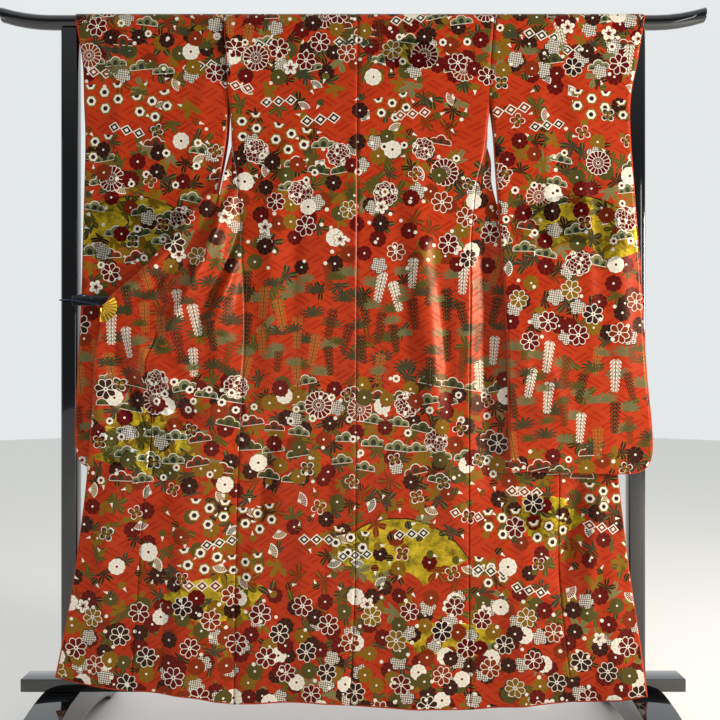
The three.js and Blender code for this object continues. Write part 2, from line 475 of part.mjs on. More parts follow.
// The layers draw together at the cuff from this share of the width; the folds fade towards both edges.
const CUFF_DRAW = { start: 0.55, fadeFolds: 5, fadeAtArmhole: 4 };
function sleeve(name, table) {
  const layer = (row, rear) => {
    const z = row.bodyZ;
    const sewn = soft((CUFF_OPEN_ABOVE - z) / (CUFF_OPEN_ABOVE - CUFF_SEWN_BELOW));
    const y = rear ? row.rear : row.front;
    const middle = (row.front + row.rear) / 2;
    const seamY = mix(y, middle + (rear ? SEWN_HALF : -SEWN_HALF), sewn);
    const from = new THREE.Vector3(row.bodyX, y, z);
    const to = new THREE.Vector3(rear ? row.rearX : row.outerX, seamY, row.outerZ);
    const span = SLEEVE_FOLDS_SPAN;
    const lift = soft((span.top - z) / span.topFade) * soft((z - span.bottom) / span.bottomFade);
    return section(from, to, SLEEVE_STEPS, rear ? AWAY : TOWARDS_VIEWER, (p, s) => {
      p.y = mix(y, seamY, soft((s - CUFF_DRAW.start) / (1 - CUFF_DRAW.start)));
      const atCuff = soft((1 - s) * CUFF_DRAW.fadeFolds);
      const atBody = z > ARMHOLE_FROM ? soft(s * CUFF_DRAW.fadeAtArmhole) : 1;
      if (!rear) p.y -= lift * foldsAt(SLEEVE_FOLDS, p.x, p.z) * atCuff * atBody;
      return p;
    });
  };
  const lower = table.slice(0, -1);
  const top = table.at(-1);
  const sections = [
    ...lower.map((row) => layer(row, false)),
    ...overRail(top.bodyX, top.outerX, SLEEVE_STEPS),
    ...lower.map((row) => layer(row, true)).reverse(),
  ];
  addPiece(name, clothWall(sections, WALL), finish.silk);
}

// ---- Collar: one band along both fronts' inner edges and round the back of the neck ----
const NECK_X = [-52, -22, 12, 46, 76];
const COLLAR_LEAN = 3; // how much further back the band's free edge lies
function collar() {
  const edge = (row) => new THREE.Vector3(row.innerX, row.innerY, row.innerZ);
  const neck = NECK_X.map((x) => new THREE.Vector3(x, OVER_RAIL, LEFT_UPPER.at(-1).innerZ));
  const path = [...LEFT_UPPER.map(edge), ...neck, ...RIGHT_UPPER.map(edge).reverse()];
  const facing = [
    ...LEFT_UPPER.map(upperFacing),
    ...neck.map(() => AWAY),
    ...RIGHT_UPPER.map(upperFacing).reverse(),
  ];
  const sections = path.map((p, k) => {
    const before = path[Math.max(0, k - 1)];
    const after = path[Math.min(path.length - 1, k + 1)];
    const inward = new THREE.Vector3(after.z - before.z, 0, before.x - after.x).normalize();
    const start = p.clone().addScaledVector(inward, COLLAR_GAP);
    const end = p.clone().addScaledVector(inward, COLLAR_WIDTH);
    end.y += COLLAR_LEAN;
    return section(start, end, 2, facing[k]);
  });
  addPiece("collar", clothWall(sections, COLLAR_WALL), finish.silk);
}

// ---- Stand ----
// Half of the rail's outline, from the top round to the underside, in the (y, z) plane about its round top.
function railOutline() {
  const points = [];
  for (let k = 0; k <= ARC_STEPS; k++) {
    const angle = Math.PI * (1 - k / ARC_STEPS);
    points.push([RAIL_RADIUS * Math.cos(angle), RAIL_RADIUS * Math.sin(angle)]);
  }
  for (let k = 0; k <= ARC_STEPS; k++) {
    const angle = -(Math.PI * k) / ARC_STEPS;
    points.push([RAIL_RADIUS * Math.cos(angle), RAIL_RADIUS * Math.sin(angle) - RAIL_FLAT]);
  }
  return points;
}

function topRail() {
  const outline = railOutline();
  const span = RAIL_HALF_LENGTH - RAIL_RISE_FROM;
  const ends = [0, 0.25, 0.5, 0.75, 1].map((t) => RAIL_RISE_FROM + span * t);
  const stations = [...ends.map((x) => -x).reverse(), ...ends];
  const points = [];
  for (const x of stations) {
    const rise = RAIL_RISE * ((Math.abs(x) - RAIL_RISE_FROM) / span) ** 2;
    for (const [y, z] of outline) points.push(new THREE.Vector3(x, y, RAIL_AXIS + z + rise));
  }
  const n = outline.length;
  const triangles = [];
  for (let k = 0; k + 1 < stations.length; k++) {
    for (let j = 0; j < n; j++) {
      const a = k * n + j;
      const b = k * n + ((j + 1) % n);
      triangles.push([a, a + n, b + n], [a, b + n, b]);
    }
  }
  const far = (stations.length - 1) * n;
  for (let j = 1; j + 1 < n; j++) triangles.push([0, j, j + 1], [far, far + j + 1, far + j]);
  addPiece("top_rail", closedGeometry(points, triangles), finish.lacquer);
}

function box(name, width, depth, height, x, y, bottom) {
  const geometry = new THREE.BoxGeometry(width, depth, height);
  geometry.translate(x, y, bottom + height / 2);
  addPiece(name, geometry, finish.lacquer);
}

function posts() {
  const bottom = PLANK.bottom + PLANK.height + JOINT_GAP;
  const top = RAIL_AXIS - RAIL_FLAT - RAIL_RADIUS - JOINT_GAP;
  const w = POST_WIDTH / 2 - POST_CORNER;
  const d = POST_DEPTH / 2 - POST_CORNER;
  for (const [name, side] of [["post_left", -1], ["post_right", 1]]) {
    const shape = new THREE.Shape();
    for (const [x, y, from] of [[w, d, 0], [-w, d, 1], [-w, -d, 2], [w, -d, 3]]) {
      for (let k = 0; k <= 3; k++) {
        const angle = (Math.PI / 2) * (from + k / 3);
        const point = [x + POST_CORNER * Math.cos(angle), y + POST_CORNER * Math.sin(angle)];
        if (from + k === 0) shape.moveTo(...point);
        else shape.lineTo(...point);
      }
    }
    const geometry = new THREE.ExtrudeGeometry(shape, { depth: top - bottom, bevelEnabled: false });
    geometry.translate(side * (POST_INNER + POST_WIDTH / 2), 0, bottom);
    addPiece(name, geometry, finish.lacquer);
  }
}

// A foot seen from its end: a bow under the plank, flat where it stands, with a long low arch beneath.
function footOutline() {
  const half = FOOT.length / 2;
  const shape = new THREE.Shape();
  shape.moveTo(-half, 0);
  for (let k = 0; k <= FOOT.bowSteps; k++) {
    const angle = Math.PI * (1 - k / FOOT.bowSteps);
    shape.lineTo(half * Math.cos(angle), FOOT.toe + (FOOT.crown - FOOT.toe) * Math.sin(angle));
  }
  shape.lineTo(half, 0);
  shape.lineTo(FOOT_ARCH.half, 0);
  for (let k = 1; k <= FOOT_ARCH.steps; k++) {
    const angle = (Math.PI * k) / FOOT_ARCH.steps;
    shape.lineTo(FOOT_ARCH.half * Math.cos(angle), FOOT_ARCH.height * Math.sin(angle));
  }
  return shape;
}

function feet() {
  for (const [name, side] of [["foot_left", -1], ["foot_right", 1]]) {
    const geometry = new THREE.ExtrudeGeometry(footOutline(), { depth: FOOT.width, bevelEnabled: false });
    // The outline's x becomes Y, its y becomes Z and the extrusion runs along X.
    geometry.applyMatrix4(new THREE.Matrix4().set(0, 0, 1, 0, 1, 0, 0, 0, 0, 1, 0, 0, 0, 0, 0, 1));
    geometry.translate(side * FOOT.x - FOOT.width / 2, 0, 0);
    addPiece(name, geometry, finish.lacquer);
  }
}

// ---- Clip: a black jaw behind the cloth's corner, a gold fan before it, and the cord that ties it ----
const JAW = { fromX: -653, toX: -548, thickness: 8, height: 23, cutFromX: -580, lip: 4, lipHeight: 5 };
function clipJaw() {
  const shape = new THREE.Shape();
  shape.moveTo(JAW.fromX, CLIP.z - JAW.height / 2);
  shape.lineTo(JAW.cutFromX, CLIP.z - JAW.height / 2);
  shape.lineTo(JAW.toX, CLIP.z + JAW.height / 2 - JAW.lipHeight);
  shape.lineTo(JAW.toX + JAW.lip, CLIP.z + JAW.height / 2);
  shape.lineTo(JAW.fromX, CLIP.z + JAW.height / 2);
  const geometry = new THREE.ExtrudeGeometry(shape, { depth: JAW.thickness, bevelEnabled: false });
  geometry.rotateX(Math.PI / 2);
  geometry.translate(0, CLIP.cloth + WALL / 2 + JOINT_GAP + JAW.thickness, 0);
  addPiece("clip_jaw", geometry, finish.lacquer);
}

const FAN = { pivotX: -583, pivotZ: 1015, inner: 4, outer: 37, from: -95, to: 34 };
const PLEAT = { count: 9, depth: 2.4, wall: 1 };
function clipFan() {
  const sections = [];
  const y = CLIP.cloth - WALL / 2 - JOINT_GAP - PLEAT.depth - PLEAT.wall;
  for (let k = 0; k <= PLEAT.count * 2; k++) {
    const angle = THREE.MathUtils.degToRad(mix(FAN.from, FAN.to, k / (PLEAT.count * 2)));
    const crest = k % 2 ? PLEAT.depth : 0;
    const at = (r, share) => {
      const lift = crest * share - (1 - share) * 0.5;
      return new THREE.Vector3(FAN.pivotX + r * Math.cos(angle), y + lift, FAN.pivotZ + r * Math.sin(angle));
    };
    const points = [at(FAN.inner, 0.25), at((FAN.inner + FAN.outer) / 2, 0.7), at(FAN.outer, 1)];
    sections.push({ points, out: TOWARDS_VIEWER });
  }
  addPiece("clip_fan", clothWall(sections, PLEAT.wall), finish.gold);
}

const CORD = { diameter: 3, clear: 0.5, sides: 8, steps: 36 };
function tieCord() {
  const r = CORD.diameter / 2 + CORD.clear;
  const front = CLIP.cloth + WALL / 2 + JOINT_GAP - r;
  const near = -POST_INNER + r;
  const far = -POST_INNER - POST_WIDTH - r;
  const back = POST_DEPTH / 2 + r;
  const over = CLIP.z + JAW.height / 2 + r;
  // Along the jaw's front, round the post, and back over the top of the jaw.
  const route = [
    [-591, front, 1019],
    [-620, front, 1024],
    [-657, front, 1029.5],
    [-676, -30, 1031],
    [far, -17, 1032],
    [far - 0.5, 0, 1033],
    [far, back - 4, 1034],
    [far + 4, back, 1034.5],
    [near - 4, back, 1037],
    [near, back - 4, 1037.5],
    [near + 0.5, 0, 1039],
    [near, -18, 1041],
    [-643, -30, over],
    [-632, -37, over + 0.4],
    [-619, front + 1, over + 0.6],
    [-612, front - 1.6, over - 4],
    [-604, front - 0.4, 1031],
  ].map(([x, y, z]) => new THREE.Vector3(x, y, z));
  const path = new THREE.CatmullRomCurve3(route, false, "centripetal");
  const round = new THREE.Shape();
  for (let k = 0; k < CORD.sides; k++) {
    const angle = (2 * Math.PI * k) / CORD.sides;
    const point = [(CORD.diameter / 2) * Math.cos(angle), (CORD.diameter / 2) * Math.sin(angle)];
    if (k === 0) round.moveTo(...point);
    else round.lineTo(...point);
  }
  round.closePath();
  const settings = { steps: CORD.steps, bevelEnabled: false, extrudePath: path };
  const geometry = new THREE.ExtrudeGeometry(round, settings);
  geometry.deleteAttribute("normal");
  geometry.deleteAttribute("uv");
  addPiece("tie_cord", mergeVertices(geometry, 1e-3), finish.cord);
}

backPanel("back_left", leftRows, "left", HEM_BOW.backLeft);
backPanel("back_right", rightRows, "right", HEM_BOW.backRight);
frontPanel("front_left", leftRows, LEFT_UPPER, HEM_BOW.frontLeft);
frontPanel("front_right", rightRows, RIGHT_UPPER, HEM_BOW.frontRight);
overlap("overlap_left", leftRows, HEM_BOW.overlapLeft);
overlap("overlap_right", rightRows, HEM_BOW.overlapRight);
sleeve("sleeve_left", LEFT_SLEEVE);
sleeve("sleeve_right", RIGHT_SLEEVE);
collar();
topRail();
posts();
box("plank", PLANK.length, PLANK.depth, PLANK.height, 0, 0, PLANK.bottom);
feet();
clipJaw();
clipFan();
tieCord();

export default kimono;
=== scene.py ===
"""A furisode hung by its shoulders on a black lacquered kimono stand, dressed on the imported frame.

Each width of silk is a thin closed shell on its solid's form, with finer creases, a dyed and gilded pattern on
its outer face and a plain lining inside. Metres, +Z up, the kimono's back towards -Y.
"""
import logging
import math
from dataclasses import dataclass, field
from enum import Enum

import bmesh
import bpy
import numpy as np
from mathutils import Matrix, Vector
from mathutils.kdtree import KDTree


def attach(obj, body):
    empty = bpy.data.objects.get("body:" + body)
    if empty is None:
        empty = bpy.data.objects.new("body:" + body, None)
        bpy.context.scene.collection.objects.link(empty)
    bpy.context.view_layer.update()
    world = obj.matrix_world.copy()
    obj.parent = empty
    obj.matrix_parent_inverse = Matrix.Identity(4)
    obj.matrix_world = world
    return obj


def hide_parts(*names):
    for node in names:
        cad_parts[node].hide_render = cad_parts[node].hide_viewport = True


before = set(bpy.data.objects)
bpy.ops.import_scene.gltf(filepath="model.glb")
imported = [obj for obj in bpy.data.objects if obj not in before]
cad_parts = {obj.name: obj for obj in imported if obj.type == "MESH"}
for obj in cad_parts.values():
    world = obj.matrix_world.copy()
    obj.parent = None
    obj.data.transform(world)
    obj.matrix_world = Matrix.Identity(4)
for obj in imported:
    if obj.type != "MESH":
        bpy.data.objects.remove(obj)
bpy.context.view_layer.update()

MM = 0.001
RAIL_AXIS = 1.694  # height of the centre of the rail's round top
OVER_RAIL = 0.0184  # radius at which the cloth lies over it
FOLD_TOP = RAIL_AXIS + math.pi / 2 * OVER_RAIL  # height coordinate of the ridge of the fold over the rail
TURN_STARTS = 1.36  # height above which the fronts turn round their side edge, to hang behind the rail
DROP_STARTS = 1.36  # height below which the zones of the sleeves lie lower than the body's
BAND_SPAN = 1.8  # height coordinate that a density ramp covers
TRACE = 1e-9  # share of a colour that is added to a place, far too small to move it
CREASES_END = 1.655  # height at which the creases have faded out below the rail
CREASES_START = 0.02  # height above which they begin at the hem
HEM_ROLL_TOP = 0.25  # height below which a free edge shows its broader hem roll
ON_RAIL = 1.66  # height above which the cloth lies on the rail
SEAM_DIP = 1.1 * MM  # how far a seam draws the cloth in

logging.basicConfig(level=logging.INFO, format="%(levelname)s %(message)s")
log = logging.getLogger("kimono")


# ---- Colour and nodes ----
def linear(code: str) -> tuple[float, float, float, float]:
    """The linear colour of an sRGB hex code.

    Args:
        code: six hex digits after a hash sign.

    Returns:
        Red, green, blue and an alpha of 1.
    """
    parts = [int(code[k : k + 2], 16) / 255 for k in (1, 3, 5)]
    r, g, b = (c / 12.92 if c <= 0.04045 else ((c + 0.055) / 1.055) ** 2.4 for c in parts)
    return (r, g, b, 1.0)


def add_node(tree: bpy.types.NodeTree, kind: str, inputs: dict | None = None, **settings) -> bpy.types.Node:
    """Adds one node with its settings and links.

    Args:
        tree: the material's node tree.
        kind: the node's type name.
        inputs: socket name or number to a Signal, a socket to link, or a value.
        settings: the node's own properties.

    Returns:
        The new node.
    """
    node = tree.nodes.new(kind)
    for name, value in settings.items():
        setattr(node, name, value)
    for name, value in (inputs or {}).items():
        value = value.socket if isinstance(value, Signal) else value
        if isinstance(value, bpy.types.NodeSocket):
            tree.links.new(value, node.inputs[name])
        else:
            node.inputs[name].default_value = value
    return node


@dataclass(frozen=True)
class Signal:
    """One number that a node gives, with the arithmetic that adds further nodes behind it."""

    tree: bpy.types.NodeTree
    socket: bpy.types.NodeSocket

    def calc(self, operation: str, *others: "Signal | float") -> "Signal":
        """This number and the others put through one operation."""
        node = add_node(self.tree, "ShaderNodeMath", dict(enumerate((self, *others))), operation=operation)
        return Signal(self.tree, node.outputs[0])

    def __add__(self, other: "Signal | float") -> "Signal":
        """The sum."""
        return self.calc("ADD", other)

    def __sub__(self, other: "Signal | float") -> "Signal":
        """The difference."""
        return self.calc("SUBTRACT", other)

    def __mul__(self, other: "Signal | float") -> "Signal":
        """The product."""
        return self.calc("MULTIPLY", other)

    def __lt__(self, other: "Signal | float") -> "Signal":
        """1 where this is less, and otherwise 0."""
        return self.calc("LESS_THAN", other)

    def __gt__(self, other: "Signal | float") -> "Signal":
        """1 where this is more, and otherwise 0."""
        return self.calc("GREATER_THAN", other)

    def __and__(self, other: "Signal") -> "Signal":
        """Both of two masks."""
        return self.calc("MULTIPLY", other)

    def __or__(self, other: "Signal") -> "Signal":
        """Either of two masks."""
        return self.calc("MAXIMUM", other)

    def __abs__(self) -> "Signal":
        """The size without the sign."""
        return self.calc("ABSOLUTE")

    def within(self, across: "Signal", half_length: float, half_width: float) -> "Signal":
        """How far a point lies from the middle of an oval, which is 1 on its edge."""
        first, second = self * (1 / half_length), across * (1 / half_width)
        return (first * first + second * second).calc("SQRT")


def new_material(name: str) -> tuple[bpy.types.Material, bpy.types.Node]:
    """An empty node material.

    Args:
        name: what the material is.

    Returns:
        The material and its Principled shader.
    """
    material = bpy.data.materials.new(name)
    material.use_nodes = True
    material.node_tree.nodes.clear()
    shader = add_node(material.node_tree, "ShaderNodeBsdfPrincipled")
    add_node(material.node_tree, "ShaderNodeOutputMaterial", {"Surface": shader.outputs[0]})
    return material, shader


# ---- The dyed pattern ----
class Dye(Enum):
    """The colours of the cloth, as sRGB, with three that also paint shade: along the seams, over the lowest
    ground and in the gold leaf's crinkles.
    """

    VERMILION = "#ac2c11"
    VERMILION_LIT = "#be3c1a"
    # The cloth's own patches of deeper dye, and also painted shade over the lowest ground
    VERMILION_DEEP_AND_SHADE = "#6e1007"
    # Painted shade along the seams, where the cloth is drawn in
    SEAM = "#4a0b06"
    WHITE = "#e9e2d0"
    GREY = "#a9a297"
    CRIMSON = "#58080c"
    RUST = "#7c2a10"
    OCHRE = "#7f5f16"
    OLIVE = "#484a20"
    SAGE = "#74764f"
    INK = "#2a211f"
    PINE = "#273529"
    CHARCOAL = "#231513"
    ORANGE = "#b4642c"
    GOLD = "#cdb02c"
    # Painted shade of the gold leaf's crinkles, laid in noise patches
    GOLD_PAINTED_SHADE = "#524610"


class Band(Enum):
    """Zones of the design, by the height in metres at which each begins."""

    HEM = 0.0
    LOW_TREASURES = 0.34
    GARDEN = 0.60
    WISTERIA = 0.85
    BLOSSOMS = 1.10
    PINES = 1.27
    TREASURES = 1.40
    SHOULDER = 1.55


@dataclass(frozen=True)
class Strewing:
    """How one kind of motif is strewn: one to a cell of a turned grid, in millimetres and degrees.

    share holds, for each band, the part of the cells that carry it, and loose how far a motif may stray.
    """

    seed: int
    radius: float
    cell: float
    share: dict[Band, float]
    turn: float = 0.0
    loose: float = 0.3
    upright: bool = False
    tall: float = 1.0
    skew: float = 0.0  # how much higher each column's cells start than those of the one before it


@dataclass(frozen=True)
class Spot:
    """A place within a motif: x and y in motif radii, polar r and angle, and its cell's mask and chance."""

    x: Signal
    y: Signal
    r: Signal
    angle: Signal
    shown: Signal
    hue: Signal
    place: bpy.types.NodeSocket

    def folded(self, count: int) -> tuple[Signal, Signal]:
        """Folds the place into one of so many equal sectors.

        Args:
            count: how many there are.

        Returns:
            How far it lies along the sector's middle line, and how far off it to either side.
        """
        sector = math.tau / count
        off = ((self.angle * (1 / sector)).calc("FRACT") - 0.5) * sector
        return off.calc("COSINE") * self.r, abs(off.calc("SINE") * self.r)


@dataclass(frozen=True)
class GoldArea:
    """An area of gold leaf: its middle and half sizes, in metres of the cloth."""

    across: float
    height: float
    half_width: float
    half_height: float


@dataclass(frozen=True)
class GoldFan:
    """An open fan of gold leaf, in metres of the cloth and radians."""

    across: float  # of its pivot
    height: float  # of its pivot
    outer: float  # radius of its arc
    bare: float  # share of that radius that is left bare round the pivot
    lean: float
    spread: float  # half of its opening


@dataclass
class Canvas:
    """The pattern as it is built up, motif over motif."""

    tree: bpy.types.NodeTree
    place: bpy.types.NodeSocket
    band: Signal
    colour: bpy.types.NodeSocket
    gold: Signal

    def paint(self, mask: Signal, colour: "Dye | bpy.types.NodeSocket") -> None:
        """Lays a colour over what is there.

        Args:
            mask: 1 where it is laid.
            colour: a dye or a colour socket.
        """
        laid = linear(colour.value) if isinstance(colour, Dye) else colour
        mixed = add_node(self.tree, "ShaderNodeMix", {0: mask, 6: self.colour, 7: laid}, data_type="RGBA")
        self.colour = mixed.outputs[2]

    def one_of(self, chance: Signal, dyes: tuple[Dye, ...]) -> bpy.types.NodeSocket:
        """Picks one of several dyes for each cell.

        Args:
            chance: the cell's random number.
            dyes: what to pick from.

        Returns:
            The colour.
        """
        ramp = add_node(self.tree, "ShaderNodeValToRGB", {0: chance})
        ramp.color_ramp.interpolation = "CONSTANT"
        stops = ramp.color_ramp.elements
        while len(stops) < len(dyes):
            stops.new(1.0)
        for k, dye in enumerate(dyes):
            stops[k].position = k / len(dyes)
            stops[k].color = linear(dye.value)
        return ramp.outputs[0]

    def share_at(self, height: Signal, share: dict[Band, float]) -> Signal:
        """Looks up how much of the cells a motif fills.

        Args:
            height: where the cell lies.
            share: the part that is filled in each band.

        Returns:
            That part, from 0 to 1.
        """
        ramp = add_node(self.tree, "ShaderNodeValToRGB", {0: height * (1 / BAND_SPAN)})
        ramp.color_ramp.interpolation = "CONSTANT"
        stops = ramp.color_ramp.elements
        while len(stops) < len(Band):
            stops.new(1.0)
        for stop, band in zip(stops, Band):
            stop.position = band.value / BAND_SPAN
            stop.color = (0.0, 0.0, 0.0, share.get(band, 0.0))
        return Signal(self.tree, ramp.outputs["Alpha"])

    def strew(self, s: Strewing) -> Spot:
        """The grid of one kind of motif.

        Args:
            s: its sizes and shares.

        Returns:
            Where a point of the cloth lies in its cell's motif.
        """
        tree = self.tree
        # A trace of the colour so far is added to the place, so that the renderer works the layers out one
        # after another and holds few values at a time.
        trace = {0: self.colour, 1: (TRACE,) * 3, 2: self.place}
        place = add_node(tree, "ShaderNodeVectorMath", trace, operation="MULTIPLY_ADD").outputs[0]
        turn = math.radians(s.turn)
        wide, tall = s.cell * MM, s.cell * s.tall * MM
        offset = (s.seed * 0.37, s.seed * 0.61, s.seed)
        settings = {"Vector": place, "Location": offset, "Rotation": (0, 0, turn)}
        settings["Scale"] = (1 / wide, 1 / tall, 0)
        grid = add_node(tree, "ShaderNodeMapping", settings).outputs[0]
        grid = self.sheared(grid, s.skew)
        cell = add_node(tree, "ShaderNodeVectorMath", {0: grid}, operation="FLOOR").outputs[0]
        inside = add_node(tree, "ShaderNodeVectorMath", {0: grid}, operation="FRACTION").outputs[0]
        dice = add_node(tree, "ShaderNodeTexWhiteNoise", {"Vector": cell}, noise_dimensions="3D")
        rolled = add_node(tree, "ShaderNodeSeparateXYZ", {0: dice.outputs["Color"]})
        start = (-0.5 - s.loose / 2, -0.5 - s.loose / 2, 0)
        nudge = {0: dice.outputs["Color"], 1: (s.loose, s.loose, 0), 2: start}
        shift = add_node(tree, "ShaderNodeVectorMath", nudge, operation="MULTIPLY_ADD").outputs[0]
        local = add_node(tree, "ShaderNodeVectorMath", {0: inside, 1: shift}, operation="ADD").outputs[0]
        local = self.sheared(local, -s.skew)
        upward = (-math.sin(turn) * tall, math.cos(turn) * tall, 0)
        rise = add_node(tree, "ShaderNodeVectorMath", {0: local, 1: upward}, operation="DOT_PRODUCT")
        centre = self.band - Signal(tree, rise.outputs["Value"])
        third = Signal(tree, rolled.outputs[2])
        shown = third < self.share_at(centre, s.share)
        size = Signal(tree, rolled.outputs[0]) * 0.16 + 0.92
        grow = (s.cell / s.radius, s.cell * s.tall / s.radius, 0)
        stretched = add_node(tree, "ShaderNodeVectorMath", {0: local, 1: grow}, operation="MULTIPLY").outputs[0]
        sized = add_node(tree, "ShaderNodeVectorMath", {0: stretched, 3: size}, operation="SCALE").outputs[0]
        if s.upright:
            angle = (Signal(tree, rolled.outputs[1]) - 0.5) * 0.5 - turn
        else:
            angle = Signal(tree, dice.outputs["Value"]) * math.tau
        spin = {"Vector": sized, "Angle": angle}
        turned = add_node(tree, "ShaderNodeVectorRotate", spin, rotation_type="Z_AXIS").outputs[0]
        parts = add_node(tree, "ShaderNodeSeparateXYZ", {0: turned})
        x, y = Signal(tree, parts.outputs[0]), Signal(tree, parts.outputs[1])
        length = add_node(tree, "ShaderNodeVectorMath", {0: turned}, operation="LENGTH").outputs["Value"]
        hue = (third * 37.7).calc("FRACT")
        return Spot(x, y, Signal(tree, length), y.calc("ARCTAN2", x), shown, hue, turned)

    def sheared(self, place: bpy.types.NodeSocket, by: float) -> bpy.types.NodeSocket:
        """Raises a place in proportion to how far across it is.

        Args:
            place: the place.
            by: the proportion, or 0 to leave it alone.

        Returns:
            The raised place.
        """
        if not by:
            return place
        across = add_node(self.tree, "ShaderNodeSeparateXYZ", {0: place}).outputs[0]
        raised = add_node(self.tree, "ShaderNodeVectorMath", {0: (0, by, 0), 3: across}, operation="SCALE")
        both = {0: place, 1: raised.outputs[0]}
        return add_node(self.tree, "ShaderNodeVectorMath", both, operation="ADD").outputs[0]

    def petals(self, spot: Spot, count: int) -> Signal:
        """0 between two petals and 1 along the middle of each, round a flower of so many."""
        return ((spot.angle * (count / math.tau)).calc("FRACT") * math.pi).calc("SINE")

    # Each motif below is drawn in radii, round its own centre.
    def plum(self, s: Strewing, dyes: tuple[Dye, ...]) -> None:
        """White-edged blossoms of seven coloured petals round a white ring.

        Args:
            s: how they are strewn.
            dyes: the colours that they take in turn.
        """
        spot = self.strew(s)
        along, across = spot.folded(7)
        petal = (along - 0.6).within(across, 0.37, 0.29)
        self.paint(spot.shown & ((petal < 1.12) | (spot.r < 0.62)), Dye.WHITE)
        fill = ((petal < 0.92) | (spot.r < 0.6)) & (across < along * 0.481 - 0.035) & (spot.r > 0.2)
        self.paint(spot.shown & fill, self.one_of(spot.hue, dyes))
        self.paint(spot.shown & (spot.r < 0.08), Dye.CRIMSON)

    def pale_plum(self, s: Strewing) -> None:
        """White plum blossoms of five round petals on a dark edge, with stamens.

        Args:
            s: how they are strewn.
        """
        spot = self.strew(s)
        along, across = spot.folded(5)
        petal = (along - 0.58).within(across, 0.4, 0.36)
        self.paint(spot.shown & (petal < 1.08), Dye.CRIMSON)
        self.paint(spot.shown & (petal < 0.92), Dye.WHITE)
        stamens = (across < 0.05) & (spot.r < 0.5) | (spot.r < 0.16)
        self.paint(spot.shown & stamens, Dye.CRIMSON)

    def tone_flower(self, s: Strewing, dyes: tuple[Dye, ...]) -> None:
        """Round flowers in one dark tone: eight broad petals, thin lines between them and a white eye.

        Args:
            s: how they are strewn.
            dyes: the colours that they take in turn.
        """
        spot = self.strew(s)
        lobe = self.petals(spot, 8)
        whole = spot.r < lobe * 0.09 + 0.91
        self.paint(spot.shown & whole, self.one_of(spot.hue, dyes))
        self.paint(spot.shown & (lobe < 0.13) & (spot.r > 0.3) & whole, Dye.RUST)
        self.paint(spot.shown & (spot.r < 0.14), Dye.WHITE)

    def dappled(self, s: Strewing) -> None:
        """Blossoms filled with the fine checks of shibori dots, with a dark shadow along one side.

        Args:
            s: how they are strewn.
        """
        spot = self.strew(s)
        lobe = self.petals(spot, 5)
        edge = lobe.calc("SQRT") * 0.42 + 0.58
        turned = {"Vector": self.place, "Rotation": (0, 0, math.radians(38))}
        checks = {"Vector": add_node(self.tree, "ShaderNodeMapping", turned).outputs[0]}
        checks |= {"Scale": 1 / (2.9 * MM), "Color1": linear(Dye.WHITE.value), "Color2": linear(Dye.INK.value)}
        dots = add_node(self.tree, "ShaderNodeTexChecker", checks).outputs[0]
        self.paint(spot.shown & (spot.r < edge + spot.x * 0.06), Dye.CHARCOAL)
        self.paint(spot.shown & (spot.r < edge - 0.05), dots)

    def chrysanthemum(self, s: Strewing, dyes: tuple[Dye, ...]) -> None:
        """Chrysanthemums of sixteen coloured petals in two rounds, with white between them and a ringed eye.

        Args:
            s: how they are strewn.
            dyes: the colours that they take in turn.
        """
        spot = self.strew(s)
        along, across = spot.folded(16)
        edge = self.petals(spot, 16) * 0.08 + 0.92
        self.paint(spot.shown & (spot.r < edge), Dye.WHITE)
        petal = (across < along * 0.163) & (spot.r < edge - 0.06) & (abs(spot.r - 0.45) > 0.02)
        self.paint(spot.shown & petal & (spot.r > 0.17), self.one_of(spot.hue, dyes))
        self.paint(spot.shown & (spot.r < 0.12), Dye.CRIMSON)

    def peony(self, s: Strewing) -> None:
        """Peonies: a ball of small crimson petals, each edged in white.

        Args:
            s: how they are strewn.
        """
        spot = self.strew(s)
        cells = {"Vector": spot.place, "Scale": 3.3, "Randomness": 0.75}
        petals = add_node(self.tree, "ShaderNodeTexVoronoi", cells, feature="DISTANCE_TO_EDGE")
        line = Signal(self.tree, petals.outputs["Distance"]) < 0.045
        edge = self.petals(spot, 9) * 0.12 + 0.88
        self.paint(spot.shown & (spot.r < edge), Dye.CRIMSON)
        self.paint(spot.shown & (spot.r < edge) & (line | (spot.r > edge - 0.06)), Dye.WHITE)

    def full_blossom(self, s: Strewing) -> None:
        """Plain white blossoms with a wavy edge, faint folds and a small dark eye.

        Args:
            s: how they are strewn.
        """
        spot = self.strew(s)
        lobe = self.petals(spot, 9)
        self.paint(spot.shown & (spot.r < lobe * 0.08 + 0.92), Dye.WHITE)
        self.paint(spot.shown & (lobe < 0.14) & (spot.r < 0.8) & (spot.r > 0.4), Dye.GREY)
        self.paint(spot.shown & (spot.r < 0.15), Dye.CRIMSON)

    def daisy(self, s: Strewing, dyes: tuple[Dye, ...]) -> None:
        """Small white daisies with a coloured eye, ringed in the same colour.

        Args:
            s: how they are strewn.
            dyes: the colours that they take in turn.
        """
        spot = self.strew(s)
        edge = self.petals(spot, 7) * 0.16 + 0.84
        self.paint(spot.shown & (spot.r < edge), Dye.WHITE)
        self.paint(spot.shown & (spot.r < 0.42), self.one_of(spot.hue, dyes))

    def spray(self, s: Strewing, dyes: tuple[Dye, ...]) -> None:
        """Sprays of pointed leaves with a pale vein.

        Args:
            s: how they are strewn.
            dyes: the colours that they take in turn.
        """
        spot = self.strew(s)
        lobe = self.petals(spot, 5)
        leaf = (spot.r < lobe.calc("POWER", 1.1) * 0.88 + 0.12) & (spot.y > -0.3)
        self.paint(spot.shown & leaf, self.one_of(spot.hue, dyes))
        self.paint(spot.shown & leaf & (lobe > 0.985), Dye.OCHRE)

